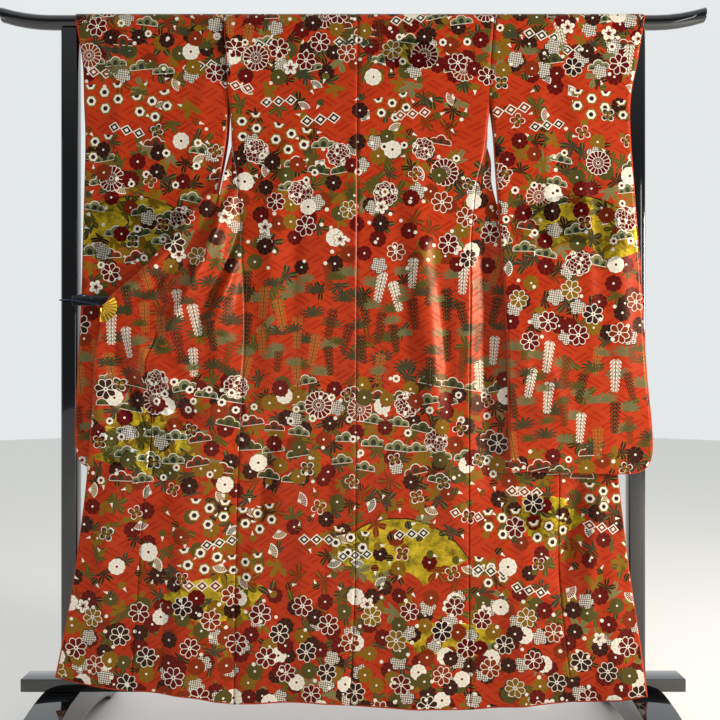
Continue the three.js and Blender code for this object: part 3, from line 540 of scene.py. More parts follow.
    def frond(self, s: Strewing, dyes: tuple[Dye, ...]) -> None:
        """Drooping fans of pointed leaflets, from which the wisteria hangs.

        Args:
            s: how they are strewn.
            dyes: the colours that they take in turn.
        """
        spot = self.strew(s)
        rise = spot.y * 1.7
        reach = rise.within(spot.x, 1.0, 1.0)
        lobe = ((rise.calc("ARCTAN2", spot.x) * (11 / math.tau)).calc("FRACT") * math.pi).calc("SINE")
        leaf = (reach < lobe * 0.75 + 0.25) & (rise > -0.55)
        self.paint(spot.shown & leaf, self.one_of(spot.hue, dyes))
        veins = (lobe > 0.97) | ((lobe < 0.4) & (reach < 0.55))
        self.paint(spot.shown & leaf & veins, Dye.OLIVE)

    def pine(self, s: Strewing) -> None:
        """Pine boughs: three rounded tiers over a level base, edged and lined in white.

        Args:
            s: how they are strewn.
        """
        spot = self.strew(s)
        middle = (spot.y - 0.06).within(spot.x, 0.6, 0.5)
        sides = (spot.y + 0.1).within(abs(spot.x) - 0.58, 0.44, 0.4)
        bough = middle.calc("MINIMUM", sides)
        level = spot.y > -0.22
        self.paint(spot.shown & level & (bough < 1.0), Dye.WHITE)
        fill = self.one_of(spot.hue, (Dye.SAGE, Dye.OLIVE, Dye.SAGE, Dye.RUST))
        self.paint(spot.shown & (spot.y > -0.18) & (bough < 0.88), fill)
        self.paint(spot.shown & (spot.y > -0.16) & (bough < 0.42), Dye.PINE)

    def hexagons(self, s: Strewing) -> None:
        """Tortoiseshell hexagons in loose groups of five: an ochre edge, a white ring and a dark middle.

        Args:
            s: how they are strewn.
        """
        spot = self.strew(s)
        along, across = spot.folded(6)
        outer = abs(along - 0.7)
        outer = outer.calc("MAXIMUM", outer * 0.5 + across * 0.87)
        inner = abs(spot.y).calc("MAXIMUM", abs(spot.y) * 0.5 + abs(spot.x) * 0.87)
        cell = outer.calc("MINIMUM", inner)
        group = spot.shown & (spot.y < 0.36)
        self.paint(group & (cell < 0.25), Dye.OCHRE)
        self.paint(group & (cell < 0.19), Dye.WHITE)
        self.paint(group & (cell < 0.095), Dye.CHARCOAL)

    def diamonds(self, s: Strewing) -> None:
        """Linked diamonds, three in a chain, in rings of pale and dark.

        Args:
            s: how they are strewn.
        """
        spot = self.strew(s)
        side = abs(spot.x)
        link = side.calc("MINIMUM", abs(side - 0.64)) + abs(spot.y) * 1.15
        self.paint(spot.shown & (link < 0.33), Dye.WHITE)
        self.paint(spot.shown & (link < 0.25), self.one_of(spot.hue, (Dye.CHARCOAL, Dye.RUST, Dye.PINE)))
        self.paint(spot.shown & (link < 0.12), Dye.WHITE)

    def trinket(self, s: Strewing) -> None:
        """Small treasures: balls and jars in muted colours, with two bands and a white tip.

        Args:
            s: how they are strewn.
        """
        spot = self.strew(s)
        body = (spot.y + 0.25).within(spot.x, 0.55, 0.62)
        fill = self.one_of(spot.hue, (Dye.OLIVE, Dye.RUST, Dye.CHARCOAL, Dye.OCHRE, Dye.PINE, Dye.CRIMSON))
        self.paint(spot.shown & (body < 1.0), fill)
        self.paint(spot.shown & (body < 1.0) & (abs(abs(spot.y + 0.25) - 0.22) < 0.05), Dye.OCHRE)
        tip = (spot.y > 0.2) & (abs(spot.x) < (spot.y - 1.0) * -0.3)
        self.paint(spot.shown & tip, Dye.WHITE)

    def small_fan(self, s: Strewing, dyes: tuple[Dye, ...]) -> None:
        """Small open fans: coloured leaves between white ribs, inside a white edge.

        Args:
            s: how they are strewn.
            dyes: the colours that they take in turn.
        """
        spot = self.strew(s)
        half_open = 1.3
        sector = (spot.r < 1.0) & (abs(spot.x) < spot.y * half_open)
        self.paint(spot.shown & sector, Dye.WHITE)
        leaves = sector & (abs(spot.r - 0.63) < 0.27) & (self.petals(spot, 26) > 0.45)
        self.paint(spot.shown & leaves, self.one_of(spot.hue, dyes))

    def wisteria(self, s: Strewing, dyes: tuple[Dye, ...]) -> None:
        """Hanging clusters of wisteria: two rows of florets, set apart, on a stem and narrower to the tip.

        Args:
            s: how they are strewn.
            dyes: the colours that they take in turn.
        """
        spot = self.strew(s)
        side = abs(spot.x)
        florets = ((spot.y + side * 1.0) * 4.2).calc("FRACT")
        taper = (spot.y + 1.2) * 0.06 + 0.06
        half = taper.calc("MINIMUM", (spot.y - 0.97) * -2.0) + (florets * math.pi).calc("SINE") * 0.17
        within = (side < half) & (abs(spot.y) < 0.97)
        self.paint(spot.shown & within & (florets > 0.24), self.one_of(spot.hue, dyes))
        lines = (abs(florets - 0.6) < 0.12) & (abs(side - half * 0.55) < 0.045)
        self.paint(spot.shown & within & (lines | (side < 0.026)), Dye.OLIVE)

    def butterfly(self, s: Strewing, dyes: tuple[Dye, ...]) -> None:
        """Butterflies with four edged wings.

        Args:
            s: how they are strewn.
            dyes: the colours that they take in turn.
        """
        spot = self.strew(s)
        lobe = (spot.angle * 2.0).calc("SINE").calc("ABSOLUTE")
        wing = lobe.calc("SQRT") * 0.8 + 0.12
        self.paint(spot.shown & (spot.r < wing), Dye.WHITE)
        self.paint(spot.shown & (spot.r < wing - 0.1) & (lobe > 0.3), self.one_of(spot.hue, dyes))
        self.paint(spot.shown & (spot.r < wing - 0.42), Dye.OCHRE)
        self.paint(spot.shown & (abs(spot.x) < 0.05) & (spot.r < 0.5), Dye.CHARCOAL)

    def buds(self, s: Strewing, dye: Dye) -> None:
        """Small round buds."""
        spot = self.strew(s)
        self.paint(spot.shown & (spot.r < 1.0), dye)

    def gild(self, mask: Signal) -> None:
        """Lays crinkled gold leaf, with the shade of its crinkles painted on as darker noise patches.

        Args:
            mask: 1 where it is laid.
        """
        shade_from, fading = 0.42, 4.5
        settings = {"Vector": self.place, "Scale": 22.0, "Detail": 8.0, "Roughness": 0.78}
        crinkle_shade = Signal(self.tree, add_node(self.tree, "ShaderNodeTexNoise", settings).outputs[0])
        self.paint(mask, Dye.GOLD)
        # Painted shade: the leaf is painted darker in noise patches, for the shade of its crinkles
        self.paint(mask & ((crinkle_shade - shade_from) * fading), Dye.GOLD_PAINTED_SHADE)
        self.gold = self.gold | mask

    def gold_areas(self, areas: tuple[GoldArea, ...]) -> None:
        """Broad areas of gold leaf whose edges drift.

        Args:
            areas: where they lie.
        """
        level = {"Vector": self.place, "Scale": (7.0, 34.0, 1.0)}
        drawn = add_node(self.tree, "ShaderNodeMapping", level).outputs[0]
        broad = {"Vector": drawn, "Scale": 1.0, "Detail": 1.5}
        drift = Signal(self.tree, add_node(self.tree, "ShaderNodeTexNoise", broad).outputs[0]) * 1.3 + 0.38
        across = Signal(self.tree, add_node(self.tree, "ShaderNodeSeparateXYZ", {0: self.place}).outputs[0])
        laid = across < -9.0  # nowhere, to begin with
        for area in areas:
            near = (self.band - area.height).within(across - area.across, area.half_height, area.half_width)
            laid = laid | (near < drift)
        self.gild(laid)

    def gold_fans(self, fans: tuple[GoldFan, ...]) -> None:
        """Large open fans of gold leaf, each with a thin dark outline along its arc.

        Args:
            fans: where they lie and how they open.
        """
        parts = add_node(self.tree, "ShaderNodeSeparateXYZ", {0: self.place}).outputs
        across, along = Signal(self.tree, parts[0]), Signal(self.tree, parts[1])
        for fan in fans:
            beside, above = across - fan.across, along - fan.height
            reach = above.within(beside, fan.outer, fan.outer)
            opened = abs(beside.calc("ARCTAN2", above) - fan.lean) < fan.spread
            self.gild(opened & (reach < 1.0) & (reach > fan.bare))
            self.paint(opened & (abs(reach - 1.0) < 0.008), Dye.CHARCOAL)


def everywhere(**shares: float) -> dict[Band, float]:
    """A share for each band that is named, by the band's name in small letters."""
    return {Band[name.upper()]: value for name, value in shares.items()}


@dataclass(frozen=True)
class FiguredSilk:
    """Figured silk satin, dyed and gilded: a soft lustre from the satin floats, with a woven fret that catches
    the light a little differently from the ground."""

    fret: float = 11.0 * MM  # distance between two lines of the woven fret
    slant: float = 32.0  # degrees by which its lines lean from the level
    seam: float = 1.0 * MM  # half width of the line of painted shade along a seam
    ripple: float = 1.2  # height of the soft long waves, in millimetres
    waves: tuple[float, float, float] = (16.0, 5.0, 1.0)  # how many of them go to a metre, across and along
    fret_height: float = 0.05  # in millimetres
    crinkle_height: float = 0.3  # of the gold leaf, in millimetres
    crinkles: float = 160.0  # of the gold leaf, to the metre
    patches: float = 3.0  # of a deeper dye, to the metre
    shade_painted_below: float = 0.64  # height below which painted shade darkens the ground, where the light falls off towards the hem
    deeper: float = 0.14  # by this share of painted shade
    roughness: float = 0.4
    fret_gloss: float = 0.06  # by how much the fret is smoother
    gilt_gloss: float = 0.1  # by how much the gold leaf is smoother
    gilt_metal: float = 0.6  # the leaf is broken, so that the silk shows through it
    specular: float = 0.35
    gloss_tint: str = "#ffb08c"
    gold: tuple[GoldArea, ...] = (
        GoldArea(-0.325, 0.340, 0.100, 0.055),
        GoldArea(-0.480, 0.700, 0.100, 0.080),
        GoldArea(0.130, 1.610, 0.070, 0.035),
        GoldArea(0.230, 0.240, 0.110, 0.040),
        GoldArea(0.450, 0.520, 0.080, 0.045),
    )
    fans: tuple[GoldFan, ...] = (
        GoldFan(0.105, 0.330, 0.190, 0.36, 0.03, 1.02),
        GoldFan(0.510, 1.085, 0.190, 0.42, 0.28, 0.93),
        GoldFan(-0.520, 1.080, 0.195, 0.40, -0.12, 0.95),
    )

    def woven_fret(self, tree: bpy.types.NodeTree, place: bpy.types.NodeSocket) -> Signal:
        """The key fret of the weave, on a grid of flat diamonds.

        Args:
            tree: the material's tree.
            place: the cloth's own coordinates.

        Returns:
            1 on the raised lines and 0 on the ground.
        """
        lean = math.radians(self.slant)
        pitch = self.fret * 3
        axes = []
        for way in (1, -1):
            run = (math.sin(lean) / pitch, way * math.cos(lean) / pitch, 0)
            dot = add_node(tree, "ShaderNodeVectorMath", {0: place, 1: run}, operation="DOT_PRODUCT")
            axes.append(Signal(tree, dot.outputs["Value"]))
        first, second = axes
        odd = (first.calc("FLOOR") + second.calc("FLOOR")).calc("PINGPONG", 1.0)
        stripes = [(axis * 3.0).calc("FRACT") > 0.5 for axis in (first, second)]
        frame_line = [axis.calc("FRACT") < 0.16 for axis in (first, second)]
        basket = stripes[0] * odd + stripes[1] * (odd * -1.0 + 1.0)
        return basket | frame_line[0] | frame_line[1]

    def build(self) -> bpy.types.Material:
        """Makes the material, with every motif laid in turn.

        Returns:
            The material.
        """
        material, shader = new_material("figured_silk_dyed_and_gilded")
        tree = material.node_tree
        place = add_node(tree, "ShaderNodeUVMap", uv_map="cloth").outputs[0]
        band, rim, seam = (
            Signal(tree, add_node(tree, "ShaderNodeAttribute", attribute_name=name).outputs["Fac"])
            for name in ("band", "rim", "seam")
        )
        fret = self.woven_fret(tree, place)
        drift = add_node(tree, "ShaderNodeTexNoise", {"Vector": place, "Scale": self.patches, "Detail": 2.0})
        ground = {0: fret, 6: linear(Dye.VERMILION.value), 7: linear(Dye.VERMILION_LIT.value)}
        weave = add_node(tree, "ShaderNodeMix", ground, data_type="RGBA").outputs[2]
        # Random patches of deeper dye, plus painted shade over the ground below a given height, where the light
        # falls off towards the hem
        depth = Signal(tree, drift.outputs[0]) * 0.7 - 0.2 + (band < self.shade_painted_below) * self.deeper
        deep = {0: depth, 6: weave, 7: linear(Dye.VERMILION_DEEP_AND_SHADE.value)}
        base = add_node(tree, "ShaderNodeMix", deep, data_type="RGBA").outputs[2]
        canvas = Canvas(tree, place, band, base, fret * 0.0)
        self.lay_motifs(canvas)
        canvas.paint(rim < 1.0, Dye.VERMILION_LIT)
        # Painted shade: a dark line along each seam
        canvas.paint(seam < self.seam, Dye.SEAM)
        crinkle = add_node(tree, "ShaderNodeTexNoise", {"Vector": place, "Scale": self.crinkles, "Detail": 3.0})
        ripple = {"Vector": place, "Scale": self.waves, "Rotation": (0, 0, 0.12)}
        long_waves = add_node(tree, "ShaderNodeMapping", ripple).outputs[0]
        waves = add_node(tree, "ShaderNodeTexNoise", {"Vector": long_waves, "Scale": 1.0, "Detail": 2.0})
        relief = fret * self.fret_height + Signal(tree, crinkle.outputs[0]) * canvas.gold * self.crinkle_height
        relief = relief + Signal(tree, waves.outputs[0]) * self.ripple
        bump = {"Height": relief, "Distance": 1 * MM, "Strength": 1.0}
        tree.links.new(add_node(tree, "ShaderNodeBump", bump).outputs[0], shader.inputs["Normal"])
        tree.links.new(canvas.colour, shader.inputs["Base Color"])
        tree.links.new((canvas.gold * self.gilt_metal).socket, shader.inputs["Metallic"])
        gloss = canvas.gold * -self.gilt_gloss + fret * -self.fret_gloss + self.roughness
        tree.links.new(gloss.socket, shader.inputs["Roughness"])
        shader.inputs["Specular IOR Level"].default_value = self.specular
        shader.inputs["Specular Tint"].default_value = linear(self.gloss_tint)
        return material

    def lay_motifs(self, c: Canvas) -> None:
        """Lays the whole design, the motifs that lie lowest first.

        Args:
            c: the canvas to lay it on.
        """
        c.gold_areas(self.gold)
        c.gold_fans(self.fans)
        leaves = everywhere(hem=0.6, low_treasures=0.45, garden=0.98, wisteria=0.12, blossoms=0.3, pines=0.9,
                            treasures=0.3, shoulder=0.85)
        c.spray(Strewing(5, 31, 58, leaves, 21), (Dye.OLIVE, Dye.PINE, Dye.RUST, Dye.OCHRE, Dye.SAGE))
        c.spray(Strewing(6, 25, 49, leaves, 70), (Dye.PINE, Dye.OLIVE, Dye.CHARCOAL, Dye.OCHRE))
        dark = (Dye.CRIMSON, Dye.RUST, Dye.CHARCOAL, Dye.OLIVE, Dye.CRIMSON, Dye.CHARCOAL, Dye.OCHRE)
        under = everywhere(hem=0.95, low_treasures=0.45, garden=0.8, blossoms=0.6, pines=0.4, treasures=0.08,
                           shoulder=0.95)
        c.tone_flower(Strewing(8, 19, 52, under, 33, loose=0.2), dark)
        small = everywhere(low_treasures=0.6, treasures=0.5, pines=0.15, shoulder=0.25)
        c.trinket(Strewing(9, 15, 44, small, 55, loose=0.35))
        c.small_fan(Strewing(11, 22, 72, everywhere(low_treasures=0.4, treasures=0.4, pines=0.2), 30, loose=0.3),
                    (Dye.RUST, Dye.PINE, Dye.OCHRE))
        boughs = everywhere(garden=0.7, pines=0.55, shoulder=0.25)
        c.pine(Strewing(10, 28, 56, boughs, 9, loose=0.25, upright=True))
        grouped = everywhere(low_treasures=0.4, treasures=0.35)
        c.hexagons(Strewing(12, 52, 112, grouped, 12, loose=0.1, upright=True))
        chains = everywhere(low_treasures=0.3, treasures=0.3, shoulder=0.2)
        c.diamonds(Strewing(14, 46, 100, chains, 24, loose=0.12, upright=True))
        leafy = (Dye.OLIVE, Dye.PINE, Dye.SAGE, Dye.PINE, Dye.SAGE)
        c.frond(Strewing(18, 30, 60, everywhere(wisteria=0.85, shoulder=0.1), 16, loose=0.3, upright=True),
                leafy)
        drops = (Dye.RUST, Dye.ORANGE, Dye.WHITE, Dye.CHARCOAL, Dye.ORANGE, Dye.CHARCOAL, Dye.WHITE, Dye.CRIMSON)
        hanging = everywhere(wisteria=0.85, shoulder=0.1)
        c.wisteria(Strewing(16, 37, 39, hanging, 0, loose=0.15, upright=True, tall=2.5, skew=0.37), drops)
        c.frond(Strewing(19, 23, 54, everywhere(wisteria=0.45, shoulder=0.1), 40, loose=0.3, upright=True),
                leafy)
        checks = everywhere(hem=0.6, blossoms=0.4, garden=0.15, shoulder=0.35, pines=0.15)
        c.dappled(Strewing(20, 20, 66, checks, 27, loose=0.28))
        red = (Dye.CRIMSON, Dye.CRIMSON, Dye.RUST, Dye.CRIMSON)
        c.chrysanthemum(Strewing(22, 31, 122, everywhere(shoulder=0.45, garden=0.4, pines=0.3), 17), red)
        c.peony(Strewing(23, 29, 134, everywhere(garden=0.42, pines=0.45, shoulder=0.15), 50))
        c.full_blossom(Strewing(24, 20, 78, everywhere(hem=0.45, blossoms=0.32, shoulder=0.2, garden=0.12,
                                                       pines=0.1, low_treasures=0.08), 52))
        over = everywhere(hem=0.75, garden=0.35, blossoms=0.5, pines=0.3, treasures=0.05, shoulder=0.5)
        c.tone_flower(Strewing(25, 19, 66, over, 5, loose=0.25), dark)
        c.pale_plum(Strewing(26, 18, 92, everywhere(hem=0.3, blossoms=0.25, shoulder=0.15), 8))
        tiny = everywhere(garden=0.22, pines=0.15, shoulder=0.12)
        c.daisy(Strewing(27, 9, 36, tiny, 44, loose=0.5), (Dye.CRIMSON, Dye.CHARCOAL, Dye.OCHRE))
        rich = (Dye.CRIMSON, Dye.CRIMSON, Dye.RUST, Dye.CHARCOAL, Dye.CRIMSON, Dye.OCHRE)
        plums = everywhere(hem=0.9, blossoms=0.7, shoulder=0.3, garden=0.08, low_treasures=0.05)
        c.plum(Strewing(28, 24, 74, plums, 36, loose=0.28), rich)
        wings = everywhere(pines=0.35, garden=0.3, treasures=0.2, low_treasures=0.25)
        c.butterfly(Strewing(30, 19, 94, wings, 61), (Dye.CRIMSON, Dye.PINE, Dye.RUST))
        dots = everywhere(hem=0.35, garden=0.15, blossoms=0.4, pines=0.15, treasures=0.1, shoulder=0.2)
        c.buds(Strewing(32, 4.4, 38, dots, 15, loose=0.6), Dye.WHITE)


@dataclass(frozen=True)
class LiningSilk:
    """Plain-woven lining silk: ivory in the body, with a broad vermilion facing up to a given height.

    Its even weave scatters the light, so that it looks duller than the satin and faintly grained.
    """

    name: str = "plain_lining_silk"
    facing_top: float = 0.72
    ivory: str = "#e9e0cf"
    threads: float = 900.0  # to the metre, drawn coarser than the real ones, which are too fine to show

    def build(self) -> bpy.types.Material:
        """Makes the material.

        Returns:
            The material.
        """
        material, shader = new_material(self.name)
        tree = material.node_tree
        place = add_node(tree, "ShaderNodeTexCoord").outputs["Object"]
        height = add_node(tree, "ShaderNodeSeparateXYZ", {0: place}).outputs[2]
        facing = Signal(tree, height) < self.facing_top
        tones = {0: facing, 6: linear(self.ivory), 7: linear(Dye.VERMILION.value)}
        mixed = add_node(tree, "ShaderNodeMix", tones, data_type="RGBA").outputs[2]
        tree.links.new(mixed, shader.inputs["Base Color"])
        grain = {"Vector": place, "Scale": self.threads, "Detail": 2.0}
        noise = add_node(tree, "ShaderNodeTexNoise", grain).outputs[0]
        bump = add_node(tree, "ShaderNodeBump", {"Height": noise, "Distance": 0.05 * MM, "Strength": 0.4})
        tree.links.new(bump.outputs[0], shader.inputs["Normal"])
        shader.inputs["Roughness"].default_value = 0.5
        shader.inputs["Sheen Weight"].default_value = 0.2
        return material


@dataclass(frozen=True)
class Lacquer:
    """Black urushi-style lacquer over wood: nearly mirror smooth, with a faint unevenness in the gloss."""

    colour: str = "#07080b"
    roughness: float = 0.07
    unevenness: float = 0.05  # of the roughness
    waves: float = 14.0  # in the coat, to the metre

    def build(self) -> bpy.types.Material:
        """Makes the material.

        Returns:
            The material.
        """
        material, shader = new_material("black_lacquer_on_wood")
        tree = material.node_tree
        place = add_node(tree, "ShaderNodeTexCoord").outputs["Object"]
        wave = {"Vector": place, "Scale": self.waves, "Detail": 1.0}
        noise = Signal(tree, add_node(tree, "ShaderNodeTexNoise", wave).outputs[0])
        tree.links.new((noise * self.unevenness + self.roughness).socket, shader.inputs["Roughness"])
        bump = add_node(tree, "ShaderNodeBump", {"Height": noise, "Distance": 0.4 * MM, "Strength": 0.15})
        tree.links.new(bump.outputs[0], shader.inputs["Normal"])
        shader.inputs["Base Color"].default_value = linear(self.colour)
        shader.inputs["Coat Weight"].default_value = 1.0
        shader.inputs["Coat Roughness"].default_value = 0.03
        return material


@dataclass(frozen=True)
class GiltBrass:
    """Gilt brass leaf, pressed into pleats and polished, so that each pleat gives a sharp warm streak."""

    colour: str = "#d9a93a"
    scratches: float = 400.0  # to the metre

    def build(self) -> bpy.types.Material:
        """Makes the material.

        Returns:
            The material.
        """
        material, shader = new_material("polished_gilt_brass")
        tree = material.node_tree
        place = add_node(tree, "ShaderNodeTexCoord").outputs["Object"]
        noise = add_node(tree, "ShaderNodeTexNoise", {"Vector": place, "Scale": self.scratches}).outputs[0]
        tree.links.new((Signal(tree, noise) * 0.16 + 0.14).socket, shader.inputs["Roughness"])
        shader.inputs["Base Color"].default_value = linear(self.colour)
        shader.inputs["Metallic"].default_value = 1.0
        return material


@dataclass(frozen=True)
class TwistedCord:
    """Navy rayon cord of two twisted strands, which show as fine slanting ribs with a soft gloss."""

    colour: str = "#1b2350"
    ribs: float = 160.0

    def build(self) -> bpy.types.Material:
        """Makes the material.

        Returns:
            The material.
        """
        material, shader = new_material("twisted_navy_cord")
        tree = material.node_tree
        place = add_node(tree, "ShaderNodeTexCoord").outputs["Object"]
        turned = {"Vector": place, "Rotation": (0.4, 0.7, 0.5)}
        mapped = add_node(tree, "ShaderNodeMapping", turned).outputs[0]
        strands = add_node(tree, "ShaderNodeTexWave", {"Vector": mapped, "Scale": self.ribs}).outputs[1]
        bump = add_node(tree, "ShaderNodeBump", {"Height": strands, "Distance": 0.4 * MM})
        tree.links.new(bump.outputs[0], shader.inputs["Normal"])
        shader.inputs["Base Color"].default_value = linear(self.colour)
        shader.inputs["Roughness"].default_value = 0.55
        return material


# ---- Meshes ----
def select_only(piece: bpy.types.Object) -> None:
    """Selects one object and makes it the active one.

    Args:
        piece: the object.
    """
    bpy.ops.object.select_all(action="DESELECT")
    piece.select_set(True)
    bpy.context.view_layer.objects.active = piece


def apply_modifiers(piece: bpy.types.Object) -> None:
    """Applies all of a piece's modifiers in order.

    Args:
        piece: the object.
    """
    select_only(piece)
    for modifier in list(piece.modifiers):
        bpy.ops.object.modifier_apply(modifier=modifier.name)


def copied_node(node: str, name: str) -> bpy.types.Object:
    """A copy of a frame node as a new piece, with its loose triangles merged to one surface.

    Args:
        node: the frame node's name.
        name: the new piece's name.

    Returns:
        The new object, active and selected.
    """
    piece = bpy.data.objects.new(name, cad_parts[node].data.copy())
    piece.data.name = name
    piece.data.materials.clear()
    bpy.context.scene.collection.objects.link(piece)
    select_only(piece)
    bpy.ops.object.mode_set(mode="EDIT")
    bpy.ops.mesh.select_all(action="SELECT")
    bpy.ops.mesh.remove_doubles(threshold=0.02 * MM)
    bpy.ops.object.mode_set(mode="OBJECT")
    return piece


def finish_piece(piece: bpy.types.Object, slot: str, *nodes: str) -> None:
    """Sets a piece on the frame's one body, and reports it.

    Args:
        piece: the finished piece.
        slot: its finish; not used.
        nodes: the frame nodes that it stands for.
    """
    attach(piece, "root")
    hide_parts(*nodes)
    log.info("%s: %d faces", piece.name, len(piece.data.polygons))


def smooth(t: np.ndarray) -> np.ndarray:
    """A soft step from 0 to 1 as t goes from 0 to 1."""
    t = np.clip(t, 0, 1)
    return t * t * (3 - 2 * t)


@dataclass(frozen=True)
class Crease:
    """A soft ridge in the cloth, or a trough where its height is negative.

    It is a line of (x, z) places in the plane of the back, with its height and half width, in millimetres.
    """

    height: float
    half: float
    line: tuple[tuple[float, float], ...]

    def lift(self, x: np.ndarray, z: np.ndarray) -> np.ndarray:
        """Presses it into the cloth, tapered towards its ends.

        Args:
            x: places across the back, in metres.
            z: heights, in metres.

        Returns:
            How far the cloth comes forward at each place, in metres.
        """
        points = np.array(self.line) * MM
        steps = np.hypot(*np.diff(points, axis=0).T)
        before = np.concatenate([[0.0], np.cumsum(steps)])
        away, along = np.full(len(x), np.inf), np.zeros(len(x))
        for k, (start, end) in enumerate(zip(points[:-1], points[1:])):
            way = end - start
            part = np.clip(((x - start[0]) * way[0] + (z - start[1]) * way[1]) / (way @ way), 0, 1)
            gap = np.hypot(x - start[0] - way[0] * part, z - start[1] - way[1] * part)
            nearer = gap < away
            away[nearer] = gap[nearer]
            along[nearer] = (before[k] + part * steps[k])[nearer]
        taper = np.sin(np.pi * np.clip(along / before[-1], 0.03, 0.97)) ** 0.6
        return self.height * MM * taper * np.exp(-((away / (self.half * MM)) ** 1.7))


BODY_CREASES = (
    Crease(-10.0, 12, ((-272, 1338), (-295, 1280), (-325, 1222), (-349, 1157), (-367, 1111), (-411, 1030),
                      (-442, 983), (-458, 913), (-479, 855))),
    Crease(9.5, 13, ((-270, 1300), (-322, 1175), (-352, 1100), (-396, 1018), (-424, 950))),
    Crease(-8.5, 9, ((-260, 1240), (-280, 1164), (-308, 1083), (-345, 1000), (-362, 940))),
    Crease(8.5, 13, ((-265, 1160), (-292, 1060), (-325, 965))),
    Crease(12.0, 19, ((-548, 965), (-480, 900), (-423, 844), (-375, 800), (-330, 774), (-290, 800),
                     (-262, 870))),
    Crease(7.5, 12, ((-428, 915), (-395, 870), (-360, 842), (-325, 850))),
    Crease(-6.0, 22, ((-352, 930), (-330, 885))),
    Crease(-9.0, 15, ((-551, 985), (-535, 900), (-510, 810), (-478, 700), (-434, 590))),
    Crease(8.0, 13, ((-500, 960), (-470, 850), (-440, 760), (-415, 690))),
    Crease(4.5, 10, ((-588, 965), (-592, 850), (-590, 728))),
    Crease(7.0, 10, ((-545, 1035), (-480, 1085), (-420, 1150), (-370, 1225))),
    Crease(-6.0, 8, ((-530, 1015), (-460, 1062), (-405, 1130))),
    Crease(7.5, 24, ((127, 1448), (158, 1146), (169, 983), (192, 774), (239, 530), (297, 380))),
    Crease(-6.0, 18, ((92, 1330), (112, 1080), (126, 900), (140, 760))),
    Crease(-6.0, 15, ((190, 1180), (214, 960), (236, 760))),
    Crease(7.0, 21, ((-144, 1436), (-186, 1200), (-191, 1040), (-186, 860))),
    Crease(-5.5, 15, ((-108, 1360), (-138, 1150), (-144, 960))),
    Crease(-10.0, 18, ((-190, 760), (-204, 640), (-230, 510), (-250, 420))),
    Crease(4.5, 16, ((-222, 560), (-240, 420), (-252, 300))),
    Crease(3.5, 14, ((4, 1500), (10, 1150), (8, 760), (6, 420))),
    Crease(-5.0, 13, ((-40, 980), (-52, 700), (-66, 430), (-84, 200))),
    Crease(4.0, 20, ((-96, 640), (-118, 400), (-130, 180))),
    Crease(4.5, 18, ((96, 620), (108, 400), (128, 170))),
    Crease(-12.0, 21, ((540, 640), (516, 520), (483, 350))),
    Crease(8.5, 17, ((578, 600), (556, 430), (540, 250))),
    Crease(-5.0, 17, ((360, 560), (384, 400), (398, 220))),
    Crease(5.0, 20, ((-560, 560), (-580, 400), (-596, 220))),
    Crease(-6.5, 16, ((-420, 500), (-432, 340), (-446, 180))),
)
LEFT_SLEEVE_CREASES = (
    Crease(4.5, 16, ((-335, 1600), (-372, 1420), (-398, 1230), (-430, 1120))),
    Crease(3.5, 12, ((-420, 1560), (-452, 1380), (-468, 1180))),
    Crease(5.0, 18, ((-540, 1610), (-556, 1400), (-572, 1180), (-590, 1050))),
    Crease(3.5, 10, ((-622, 1400), (-632, 1150), (-634, 900))),
    Crease(4.0, 12, ((-600, 960), (-612, 820), (-606, 700))),
)
RIGHT_SLEEVE_CREASES = (
    Crease(5.5, 15, ((372, 1000), (398, 880), (436, 760), (476, 650))),
    Crease(4.5, 13, ((410, 1060), (438, 930), (478, 800), (520, 680))),
    Crease(6.0, 26, ((598, 1430), (612, 1190), (628, 980), (640, 780))),
    Crease(4.5, 18, ((420, 1600), (448, 1400), (462, 1200), (470, 1060))),
    Crease(3.5, 14, ((520, 1540), (536, 1300), (552, 1080), (560, 880))),
    Crease(3.0, 10, ((350, 1440), (352, 1250), (350, 1100))),
)


@dataclass(frozen=True)
class Slit:
    """The open slit between a sleeve and the body, which the body's edge is drawn across to narrow or widen."""

    edge: float  # where the body's edge lies
    shift: float  # how far it is drawn
    half: float = 0.035  # half width of the stretch that gives way
    low: float = 1.29
    high: float = 1.60

    def drawn(self, x: np.ndarray, z: np.ndarray) -> np.ndarray:
        """How far the cloth is drawn across at each place, in metres."""
        near = np.exp(-((x - self.edge) / self.half) ** 2)
        return near * smooth((z - self.low) / 0.08) * smooth((self.high - z) / 0.1) * self.shift


SLITS = (Slit(0.312, 11 * MM), Slit(-0.286, -5 * MM))
OUTER, INNER, RIM = range(3)  # material slots of a shell's faces
RIM_BEND = math.radians(50)  # a sharper bend between two faces is the edge of the wall
SEWN_WITHIN = 2.6 * MM  # an edge this near to another width is sewn to it


